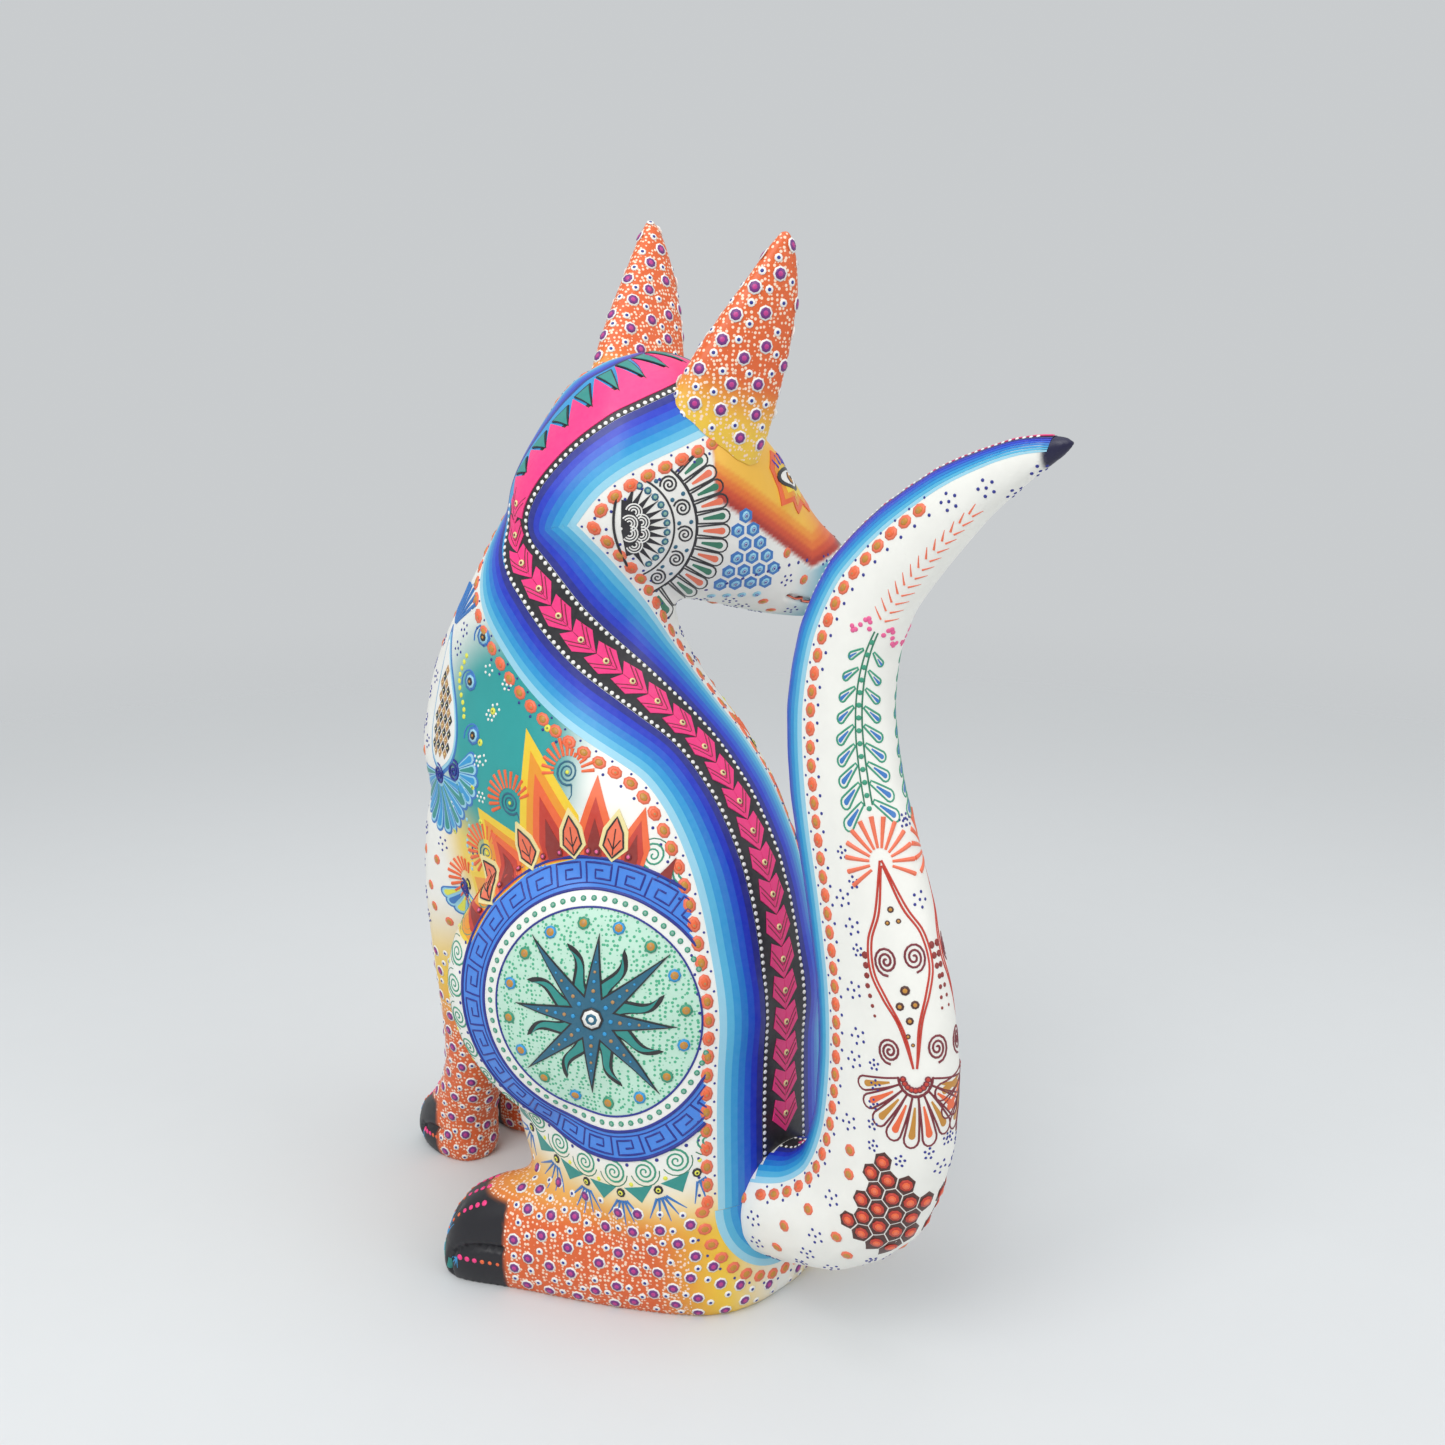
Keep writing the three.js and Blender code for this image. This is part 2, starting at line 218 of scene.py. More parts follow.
@dataclass(frozen=True)
class TurnedCopal:
    """Turned copal wood: pale, close-grained, dry to the eye, with faint brown growth bands.

    Attributes:
        early: Colour of the wood that grows early in the year.
        late: Colour of the bands between.
        band_mm: Spacing of the growth bands.
        fibre_mm: Width of one bundle of fibres.
        roughness: Bare wood scatters light widely.
        ior: Index of refraction of cellulose.
    """

    early: str = "#E3C795"
    late: str = "#C79F64"
    band_mm: float = 9
    fibre_mm: float = 0.8
    roughness: float = 0.62
    ior: float = 1.5

    def material(self) -> bpy.types.Material:
        """The material of dowels, pegs and sawn glue faces, made once."""
        name = "turned_copal_wood"
        if name in bpy.data.materials:
            return bpy.data.materials[name]
        material, tree = new_material(name)
        place = add_node(tree, "ShaderNodeTexCoord").outputs["Object"]
        grain = add_node(tree, "ShaderNodeTexWave", {"wave_type": "BANDS", "bands_direction": "X"},
                         Vector=place, Scale=1 / (self.band_mm * MM), Distortion=5.0, Detail=3.0)
        fibre = add_node(tree, "ShaderNodeTexNoise", Vector=place, Scale=1 / (self.fibre_mm * MM), Detail=4.0)
        mixed = add_node(tree, "ShaderNodeMath", {"operation": "MULTIPLY"}, i0=grain.outputs["Fac"],
                         i1=fibre.outputs["Fac"])
        tone = add_node(tree, "ShaderNodeMix", {"data_type": "RGBA"}, i0=mixed.outputs["Value"],
                        i6=linear(self.early), i7=linear(self.late))
        finish_shader(tree, tone.outputs[2], self.roughness, self.ior, fibre.outputs["Fac"], 0.2, 0.1)
        return material


@dataclass(frozen=True)
class AirbrushedGround:
    """White acrylic ground with airbrushed washes: a smooth satin skin without brush marks, finely stippled.

    The mesh says where: wash is the ground's colour, speck the stipple's colour, and stipple how much there is.

    Attributes:
        roughness: The film's middle roughness.
        speck_mm: Spacing of the stipple's dots.
        speck_share: A dot's radius as a share of that spacing.
        cloud_mm: Width of the airbrush's unevenness.
        film_mm: Width of one ripple in the film, drawn coarser than the real one so that it shows.
    """

    roughness: float = 0.38
    speck_mm: float = 1.6
    speck_share: float = 0.3
    cloud_mm: float = 9
    film_mm: float = 1.4

    def material(self) -> bpy.types.Material:
        """The material of every carved and painted surface."""
        name = "airbrushed_acrylic_ground"
        if name in bpy.data.materials:
            return bpy.data.materials[name]
        material, tree = new_material(name)
        place = add_node(tree, "ShaderNodeTexCoord").outputs["Object"]
        wash = add_node(tree, "ShaderNodeAttribute", {"attribute_name": "wash"})
        speck = add_node(tree, "ShaderNodeAttribute", {"attribute_name": "speck"})
        stipple = add_node(tree, "ShaderNodeAttribute", {"attribute_name": "stipple"})
        cells = add_node(tree, "ShaderNodeTexVoronoi", {"feature": "F1"}, Vector=place,
                         Scale=1 / (self.speck_mm * MM), Randomness=0.55)
        inside = add_node(tree, "ShaderNodeMapRange", {"interpolation_type": "SMOOTHSTEP"},
                          Value=cells.outputs["Distance"], From_Min=self.speck_share,
                          From_Max=self.speck_share + 0.1, To_Min=1.0, To_Max=0.0)
        shown = add_node(tree, "ShaderNodeMath", {"operation": "GREATER_THAN"}, i0=stipple.outputs["Fac"],
                         i1=0.5)
        share = add_node(tree, "ShaderNodeMath", {"operation": "MULTIPLY"}, i0=inside.outputs["Result"],
                         i1=shown.outputs["Value"])
        cloud = add_node(tree, "ShaderNodeTexNoise", Vector=place, Scale=1 / (self.cloud_mm * MM), Detail=3.0)
        tint = add_node(tree, "ShaderNodeMapRange", Value=cloud.outputs["Fac"], To_Min=0.93, To_Max=1.03)
        toned = add_node(tree, "ShaderNodeVectorMath", {"operation": "SCALE"}, Vector=wash.outputs["Color"],
                         Scale=tint.outputs["Result"])
        colour = add_node(tree, "ShaderNodeMix", {"data_type": "RGBA"}, i0=share.outputs["Value"],
                          i6=toned.outputs["Vector"], i7=speck.outputs["Color"])
        film = add_node(tree, "ShaderNodeTexNoise", Vector=place, Scale=1 / (self.film_mm * MM), Detail=2.0)
        height = add_node(tree, "ShaderNodeMath", {"operation": "MULTIPLY_ADD"}, i0=film.outputs["Fac"], i1=0.3,
                          i2=share.outputs["Value"])
        sheen = add_node(tree, "ShaderNodeMapRange", Value=film.outputs["Fac"], To_Min=self.roughness - 0.06,
                         To_Max=self.roughness + 0.1)
        finish_shader(tree, colour.outputs[2], sheen.outputs["Result"], ACRYLIC_IOR, height.outputs["Value"],
                      0.15, 0.15)
        return material


# ---------------------------------------------------------------- meshes

REAR_DOWEL_FORWARD = 18
SOLE_HEIGHT = 0.6


def place_origin() -> Vector:
    """The figure's own middle line on the ground, in millimetres in the row frame.

    The left and right hind legs are mirror images, and the rear neck dowel stands a little in front of the line.
    """
    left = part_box("left_hind_leg")[1].x
    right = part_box("right_hind_leg")[0].x
    low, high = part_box("neck_dowel_rear")
    return Vector(((left + right) / 2 / MM, (low.y + high.y) / 2 / MM + REAR_DOWEL_FORWARD, 0))


ORIGIN = place_origin()


def to_row(points: np.ndarray) -> np.ndarray:
    """Figure millimetres as row-frame metres."""
    return (np.asarray(points, float) + np.array(ORIGIN)) * MM


def from_row(points: np.ndarray) -> np.ndarray:
    """Row-frame metres as figure millimetres."""
    return np.asarray(points, float) / MM - np.array(ORIGIN)


def smooth_step(value: np.ndarray, low: float, high: float) -> np.ndarray:
    """0 below low, 1 above high, and a smooth rise between."""
    t = np.clip((value - low) / (high - low), 0, 1)
    return t * t * (3 - 2 * t)


@dataclass
class Surface:
    """A closed triangle or quad mesh in figure millimetres, with what is painted on its points."""

    points: np.ndarray
    faces: list[tuple[int, ...]]
    wash: Optional[np.ndarray] = None
    speck: Optional[np.ndarray] = None
    stipple: Optional[np.ndarray] = None

    @classmethod
    def from_mesh(cls, mesh: bpy.types.Mesh) -> "Surface":
        """Reads a mesh whose points are in row-frame metres."""
        points = np.zeros(len(mesh.vertices) * 3)
        mesh.vertices.foreach_get("co", points)
        return cls(from_row(points.reshape(-1, 3)), [tuple(p.vertices) for p in mesh.polygons])

    def tree(self) -> BVHTree:
        """A tree for rays and nearest points."""
        return BVHTree.FromPolygons([Vector(p) for p in self.points], self.faces)

    def normals(self) -> np.ndarray:
        """Outward normals at the points."""
        total = np.zeros_like(self.points)
        tris = np.array([(f[0], f[i], f[i + 1]) for f in self.faces for i in range(1, len(f) - 1)])
        corners = self.points[tris]
        cross = np.cross(corners[:, 1] - corners[:, 0], corners[:, 2] - corners[:, 0])
        for k in range(3):
            np.add.at(total, tris[:, k], cross)
        return total / np.maximum(np.linalg.norm(total, axis=1, keepdims=True), 1e-12)

    def relax(self, rounds: int, strength: float = 0.5, floor: bool = True) -> None:
        """Sands the surface: each point moves towards the mean of its neighbours, and soles stay flat."""
        ends = np.array([(f[i], f[(i + 1) % len(f)]) for f in self.faces for i in range(len(f))])
        count = np.zeros(len(self.points))
        np.add.at(count, ends[:, 0], 1)
        flat = self.points[:, 2] < SOLE_HEIGHT
        for _ in range(rounds):
            total = np.zeros_like(self.points)
            np.add.at(total, ends[:, 0], self.points[ends[:, 1]])
            moved = self.points + strength * (total / count[:, None] - self.points)
            if floor:
                moved[flat, 2] = self.points[flat, 2]
            self.points = moved

    def mesh(self, name: str) -> bpy.types.Mesh:
        """The surface as a Blender mesh in row-frame metres, its painted colours with it."""
        mesh = bpy.data.meshes.new(name)
        mesh.from_pydata(to_row(self.points).tolist(), [], self.faces)
        for key, values in (("wash", self.wash), ("speck", self.speck)):
            if values is not None:
                layer = mesh.attributes.new(key, "FLOAT_COLOR", "POINT")
                rgba = np.hstack([values, np.ones((len(values), 1))])
                layer.data.foreach_set("color", rgba.astype(np.float32).ravel())
        if self.stipple is not None:
            layer = mesh.attributes.new("stipple", "FLOAT", "POINT")
            layer.data.foreach_set("value", self.stipple.astype(np.float32))
        mesh.shade_smooth()
        return mesh


def add_object(name: str, mesh: bpy.types.Mesh,
               material: Optional[bpy.types.Material] = None) -> bpy.types.Object:
    """Puts a mesh into the scene under its name, with one material."""
    mesh.name = name
    made = bpy.data.objects.new(name, mesh)
    bpy.context.scene.collection.objects.link(made)
    if material is not None:
        mesh.materials.clear()
        mesh.materials.append(material)
    return made


def kd_tree(points: np.ndarray) -> KDTree:
    """A tree that finds the nearest of many points, and gives its number."""
    tree = KDTree(len(points))
    for i, point in enumerate(points):
        tree.insert(point, i)
    tree.balance()
    return tree


def evaluated(made: bpy.types.Object) -> bpy.types.Mesh:
    """The object's mesh with its modifiers applied, as a mesh of its own."""
    bpy.context.view_layer.update()
    graph = bpy.context.evaluated_depsgraph_get()
    return bpy.data.meshes.new_from_object(made.evaluated_get(graph))


def discard(made: bpy.types.Object) -> None:
    """Removes a helper object."""
    bpy.data.objects.remove(made, do_unlink=True)


def finish_piece(made: bpy.types.Object, body: str,
                 nodes: Sequence[str] = ()) -> None:
    """Puts a piece on the body it rides on and hides the CAD nodes that it stands for."""
    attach(made, body)
    if nodes:
        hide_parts(*nodes)
    LOG.info("%s: %d faces on %s", made.name, len(made.data.polygons), body)


def swollen(nodes: Sequence[str], swell_mm: float) -> bpy.types.Object:
    """CAD nodes joined into one object, each grown by swell_mm so that neighbours meet."""
    whole = bmesh.new()
    for name in nodes:
        part = bmesh.new()
        part.from_mesh(frame["nodes"][name].data)
        bmesh.ops.remove_doubles(part, verts=part.verts, dist=1e-6)
        part.normal_update()
        for vert in part.verts:
            vert.co += vert.normal * swell_mm * MM
        held = bpy.data.meshes.new("part")
        part.to_mesh(held)
        part.free()
        whole.from_mesh(held)
        bpy.data.meshes.remove(held)
    mesh = bpy.data.meshes.new("swollen")
    whole.to_mesh(mesh)
    whole.free()
    return add_object("swollen", mesh)


def remeshed(made: bpy.types.Object, voxel_mm: float) -> Surface:
    """One closed skin round everything in the object, and the object is used up."""
    remesh = made.modifiers.new("skin", "REMESH")
    remesh.mode = "VOXEL"
    remesh.voxel_size = voxel_mm * MM
    remesh.adaptivity = 0
    mesh = evaluated(made)
    discard(made)
    surface = Surface.from_mesh(mesh)
    bpy.data.meshes.remove(mesh)
    return surface


def rod(start: Vector, end: Vector, radius: float, sides: int = 48) -> bpy.types.Object:
    """A round cutter between two points, all in figure millimetres."""
    mesh = bpy.data.meshes.new("rod")
    shape = bmesh.new()
    along = end - start
    turn = along.to_track_quat("Z", "Y").to_matrix().to_4x4()
    turn.translation = (start + end) / 2
    bmesh.ops.create_cone(shape, cap_ends=True, segments=sides, radius1=radius, radius2=radius,
                          depth=along.length, matrix=turn)
    shape.transform(Matrix.Scale(MM, 4) @ Matrix.Translation(ORIGIN))
    shape.to_mesh(mesh)
    shape.free()
    return add_object("rod", mesh)


def cut(made: bpy.types.Object, cutter: bpy.types.Object, operation: str = "DIFFERENCE") -> None:
    """Cuts one closed object with another, and the cutter is used up."""
    modifier = made.modifiers.new("cut", "BOOLEAN")
    modifier.operation = operation
    modifier.solver = "MANIFOLD"
    modifier.material_mode = "TRANSFER"
    modifier.object = cutter
    mesh = evaluated(made)
    made.modifiers.remove(modifier)
    old = made.data
    made.data = mesh
    bpy.data.meshes.remove(old)
    discard(cutter)


# ---------------------------------------------------------------- charts: flat drawings laid on the surface

GRAZING = 0.08


class Chart:
    """Maps a flat drawing, in millimetres, onto a surface.

    A chart may be told, as hidden, which places on the surface are covered by something else. One with flip
    set draws the mirror image.
    """

    hidden: Optional[Callable[[Vector], bool]] = None
    flip = False

    def site(self, x: float, y: float) -> Optional[Site]:
        """What at gives, or None where the surface is covered."""
        found = self.at(x, y)
        if found is None or (self.hidden is not None and self.hidden(found[0])):
            return None
        return found

    def at(self, x: float, y: float) -> Optional[Site]:
        """The surface point and its outward normal under a place in the drawing, or None off the surface."""
        raise NotImplementedError


@dataclass
class Projected(Chart):
    """A drawing held up flat in front of the surface and projected straight onto it.

    Attributes:
        surface: The tree of the surface.
        centre: A point near the middle of the drawn area.
        facing: Where the drawing looks out to.
        up: The drawing's upward direction, made square to facing.
        flip: True draws the mirror image, for the animal's other side.
        reach: How far in front of the centre the drawing is held.
    """

    surface: BVHTree
    centre: Vector
    facing: Vector
    up: Vector = field(default_factory=lambda: Vector((0, 0, 1)))
    flip: bool = False
    reach: float = 45

    def __post_init__(self) -> None:
        """Works out the drawing's axes."""
        self.facing = self.facing.normalized()
        self.up = (self.up - self.facing * self.up.dot(self.facing)).normalized()
        self.right = self.up.cross(self.facing) * (-1 if self.flip else 1)

    def at(self, x: float, y: float) -> Optional[Site]:
        """See Chart."""
        start = self.centre + self.right * x + self.up * y + self.facing * self.reach
        point, normal, _, _ = self.surface.ray_cast(start, -self.facing, self.reach * 2)
        if point is None or normal.dot(self.facing) < GRAZING:
            return None
        return point, normal


def smooth_path(points: Sequence[Sequence[float]], step: float) -> list[Vector]:
    """A Catmull-Rom curve through the points, sampled about every step millimetres."""
    held = [Vector(p) for p in points]
    held = [held[0] * 2 - held[1], *held, held[-1] * 2 - held[-2]]
    made = []
    for a, b, c, d in zip(held, held[1:], held[2:], held[3:]):
        count = max(2, round((c - b).length / step))
        for i in range(count):
            t = i / count
            made.append(0.5 * (2 * b + (c - a) * t + (2 * a - 5 * b + 4 * c - d) * t * t
                               + (3 * b - a - 3 * c + d) * t ** 3))
    made.append(held[-2])
    return made


class Strip(Chart):
    """A drawing that follows a line over the surface: x runs along the line, and y away from it to the side."""

    EASINGS = 24

    def __init__(self, surface: BVHTree, path: Sequence[Sequence[float]], reach: float,
                 step: float = 1.6) -> None:
        """Walks out from the line on both sides, keeping to the surface.

        Args:
            surface: The tree of the surface.
            path: Points on or near the surface.
            reach: How far the drawing goes to each side.
            step: The walk's stride.
        """
        line = [surface.find_nearest(p)[0] for p in smooth_path(path, step)]
        for _ in range(4):
            eased = [(a + b * 2 + c) / 4 for a, b, c in zip(line, line[1:], line[2:])]
            line = [line[0], *[surface.find_nearest(p)[0] for p in eased], line[-1]]
        self.step = step
        self.side_count = math.ceil(reach / step)
        gaps = [(b - a).length for a, b in zip(line, line[1:])]
        self.along = np.concatenate([[0], np.cumsum(gaps)])
        self.length = float(self.along[-1])
        rows = []
        for i, start in enumerate(line):
            tangent = (line[min(i + 1, len(line) - 1)] - line[max(i - 1, 0)]).normalized()
            normal = surface.find_nearest(start)[1]
            side = normal.cross(tangent).normalized()
            left = self.walk(surface, start, side)
            right = self.walk(surface, start, -side)
            rows.append(right[::-1] + [tuple(start)] + left)
        self.grid = np.array(rows)
        self.ease(surface)
        across = np.gradient(self.grid, axis=1)
        along = np.gradient(self.grid, axis=0)
        normals = np.cross(along, across)
        self.normals = normals / np.maximum(np.linalg.norm(normals, axis=2, keepdims=True), 1e-9)

    def walk(self, surface: BVHTree, start: Vector, direction: Vector) -> list[tuple[float, ...]]:
        """Points a stride apart on the surface, straight ahead from start."""
        point, heading = start.copy(), direction.copy()
        made = []
        for _ in range(self.side_count):
            found, normal, _, _ = surface.find_nearest(point + heading * self.step)
            moved = found - point
            heading = (moved - normal * moved.dot(normal)).normalized()
            point = found
            made.append(tuple(point))
        return made

    def ease(self, surface: BVHTree) -> None:
        """Evens out neighbouring walks, so that the drawing's lines run smooth."""
        for _ in range(self.EASINGS):
            inner = self.grid[1:-1]
            self.grid[1:-1] = inner * 0.5 + (self.grid[:-2] + self.grid[2:]) * 0.25
        out = np.abs(np.arange(-self.side_count, self.side_count + 1)) / self.side_count
        share = out[None, :, None] ** 1.3
        for _ in range(self.EASINGS * 3):
            inner = self.grid[1:-1]
            eased = inner * 0.5 + (self.grid[:-2] + self.grid[2:]) * 0.25
            self.grid[1:-1] = inner * (1 - share) + eased * share
        for row in self.grid:
            row[:] = [tuple(surface.find_nearest(Vector(point))[0]) for point in row]

    def at(self, x: float, y: float) -> Optional[Site]:
        """See Chart."""
        if not 0 <= x <= self.length:
            return None
        column = y / self.step + self.side_count
        if not 0 <= column <= 2 * self.side_count:
            return None
        row = float(np.interp(x, self.along, np.arange(len(self.along))))
        i = min(int(row), len(self.along) - 2)
        j = min(int(column), 2 * self.side_count - 1)
        u, v = row - i, column - j
        weights = ((1 - u) * (1 - v), (1 - u) * v, u * (1 - v), u * v)
        cells = ((i, j), (i, j + 1), (i + 1, j), (i + 1, j + 1))
        point = sum(w * self.grid[c] for w, c in zip(weights, cells))
        normal = sum(w * self.normals[c] for w, c in zip(weights, cells))
        return Vector(point), Vector(normal).normalized()


# ---------------------------------------------------------------- brushes

class PaintTree:
    """A node tree that turns the points or the edges of a mesh into paint of one colour."""

    name = ""
    inputs: tuple[tuple[str, str], ...] = ()

    @classmethod
    def tree(cls) -> bpy.types.NodeTree:
        """The tree, made once."""
        if cls.name in bpy.data.node_groups:
            return bpy.data.node_groups[cls.name]
        tree = bpy.data.node_groups.new(cls.name, "GeometryNodeTree")
        for label, kind in cls.inputs:
            tree.interface.new_socket(label, in_out="INPUT", socket_type=f"NodeSocket{kind}")
        tree.interface.new_socket("Painted", in_out="OUTPUT", socket_type="NodeSocketGeometry")
        given = add_node(tree, "NodeGroupInput").outputs
        real = add_node(tree, "GeometryNodeRealizeInstances", Geometry=cls.grow(tree, given))
        smooth = add_node(tree, "GeometryNodeSetShadeSmooth", Geometry=real.outputs["Geometry"])
        painted = add_node(tree, "GeometryNodeSetMaterial", Geometry=smooth.outputs["Geometry"],
                           Material=given["Paint"])
        add_node(tree, "NodeGroupOutput", Painted=painted.outputs["Geometry"])
        return tree

    @classmethod
    def grow(cls, tree: bpy.types.NodeTree, given: bpy.types.bpy_prop_collection) -> bpy.types.NodeSocket:
        """Adds the nodes that make the paint's shape from the tree's inputs, and returns where it comes out."""
        raise NotImplementedError


class DotTree(PaintTree):
    """Puts one flattened bead on every point. Points carry turn (Euler angles) and size (three half axes)."""

    name = "paint_dots"
    inputs = (("Points", "Geometry"), ("Sides", "Int"), ("Rings", "Int"), ("Paint", "Material"))

    @classmethod
    def grow(cls, tree: bpy.types.NodeTree, given: bpy.types.bpy_prop_collection) -> bpy.types.NodeSocket:
        """See PaintTree."""
        bead = add_node(tree, "GeometryNodeMeshUVSphere", Segments=given["Sides"], Rings=given["Rings"],
                        Radius=MM)
        turn = add_node(tree, "GeometryNodeInputNamedAttribute", {"data_type": "FLOAT_VECTOR"}, Name="turn")
        size = add_node(tree, "GeometryNodeInputNamedAttribute", {"data_type": "FLOAT_VECTOR"}, Name="size")
        spin = add_node(tree, "FunctionNodeEulerToRotation", Euler=turn.outputs["Attribute"])
        placed = add_node(tree, "GeometryNodeInstanceOnPoints", Points=given["Points"],
                          Instance=bead.outputs["Mesh"], Rotation=spin.outputs["Rotation"],
                          Scale=size.outputs["Attribute"])
        return placed.outputs["Instances"]


class LineTree(PaintTree):
    """Runs one bead of liner-brush paint along every edge path. Points carry width, half the bead's, in metres."""

    name = "paint_lines"
    inputs = (("Paths", "Geometry"), ("Sides", "Int"), ("Paint", "Material"))

    @classmethod
    def grow(cls, tree: bpy.types.NodeTree, given: bpy.types.bpy_prop_collection) -> bpy.types.NodeSocket:
        """See PaintTree."""
        width = add_node(tree, "GeometryNodeInputNamedAttribute", {"data_type": "FLOAT"}, Name="width")
        curve = add_node(tree, "GeometryNodeMeshToCurve", Mesh=given["Paths"])
        sized = add_node(tree, "GeometryNodeSetCurveRadius", Curve=curve.outputs["Curve"],
                         Radius=width.outputs["Attribute"])
        section = add_node(tree, "GeometryNodeCurvePrimitiveCircle", Resolution=given["Sides"], Radius=1.0)
        swept = add_node(tree, "GeometryNodeCurveToMesh", Curve=sized.outputs["Curve"],
                         Profile_Curve=section.outputs["Curve"], Fill_Caps=True)
        if "Scale" in swept.inputs:
            tree.links.new(width.outputs["Attribute"], swept.inputs["Scale"])
        return swept.outputs["Mesh"]


def run_tree(made: bpy.types.Object, tree: bpy.types.NodeTree, **inputs) -> bpy.types.Mesh:
    """Runs a node tree on an object and returns the plain mesh it makes. The object is used up."""
    modifier = made.modifiers.new(tree.name, "NODES")
    modifier.node_group = tree
    sockets = {item.name: item.identifier for item in tree.interface.items_tree if item.in_out == "INPUT"}
    for name, value in inputs.items():
        modifier[sockets[name]] = value
    mesh = evaluated(made)
    discard(made)
    return mesh


class Coat:
    """Everything painted in one colour in one area: beads, lines and filled shapes."""

    BEAD_SIDES = 8
    BEAD_RINGS = 5
    LINE_SIDES = 6
    CREASE = math.radians(50)

    def __init__(self, paint: Paint) -> None:
        """An empty coat of a colour."""
        self.paint = paint
        self.beads: list[tuple[Vector, Matrix, tuple[float, float, float]]] = []
        self.lines: list[tuple[list[Vector], list[float], bool]] = []
        self.points: list[Vector] = []
        self.faces: list[tuple[int, ...]] = []

    def bead_mesh(self) -> bpy.types.Mesh:
        """All beads as one mesh."""
        mesh = bpy.data.meshes.new("beads")
        mesh.from_pydata(to_row([b[0] for b in self.beads]).tolist(), [], [])
        for key, values in (("turn", [b[1].to_euler() for b in self.beads]),
                            ("size", [b[2] for b in self.beads])):
            layer = mesh.attributes.new(key, "FLOAT_VECTOR", "POINT")
            layer.data.foreach_set("vector", np.array(values, np.float32).ravel())
        return run_tree(add_object("beads", mesh), DotTree.tree(), Sides=self.BEAD_SIDES, Rings=self.BEAD_RINGS,
                        Paint=Acrylic(self.paint).material())

    def line_mesh(self) -> bpy.types.Mesh:
        """All lines as one mesh."""
        points, edges, widths = [], [], []
        for path, half_widths, closed in self.lines:
            first = len(points)
            points += path
            widths += half_widths
            edges += [(first + i, first + i + 1) for i in range(len(path) - 1)]
            if closed:
                edges.append((first + len(path) - 1, first))
        mesh = bpy.data.meshes.new("lines")
        mesh.from_pydata(to_row(points).tolist(), edges, [])
        layer = mesh.attributes.new("width", "FLOAT", "POINT")
        layer.data.foreach_set("value", np.array(widths, np.float32) * MM)
        return run_tree(add_object("lines", mesh), LineTree.tree(), Sides=self.LINE_SIDES,
                        Paint=Acrylic(self.paint).material())

    def fill_mesh(self) -> bpy.types.Mesh:
        """All filled shapes as one mesh."""
        mesh = bpy.data.meshes.new("fills")
        mesh.from_pydata(to_row(self.points).tolist(), [], self.faces)
        mesh.shade_smooth()
        mesh.set_sharp_from_angle(angle=self.CREASE)
        mesh.materials.append(Acrylic(self.paint).material())
        return mesh

    def mesh(self, name: str) -> bpy.types.Mesh:
        """The whole coat as one mesh."""
        parts = []
        if self.beads:
            parts.append(self.bead_mesh())
        if self.lines:
            parts.append(self.line_mesh())
        if self.points:
            parts.append(self.fill_mesh())
        whole = bmesh.new()
        for part in parts:
            whole.from_mesh(part)
            bpy.data.meshes.remove(part)
        mesh = bpy.data.meshes.new(name)
        whole.to_mesh(mesh)
        whole.free()
        return mesh


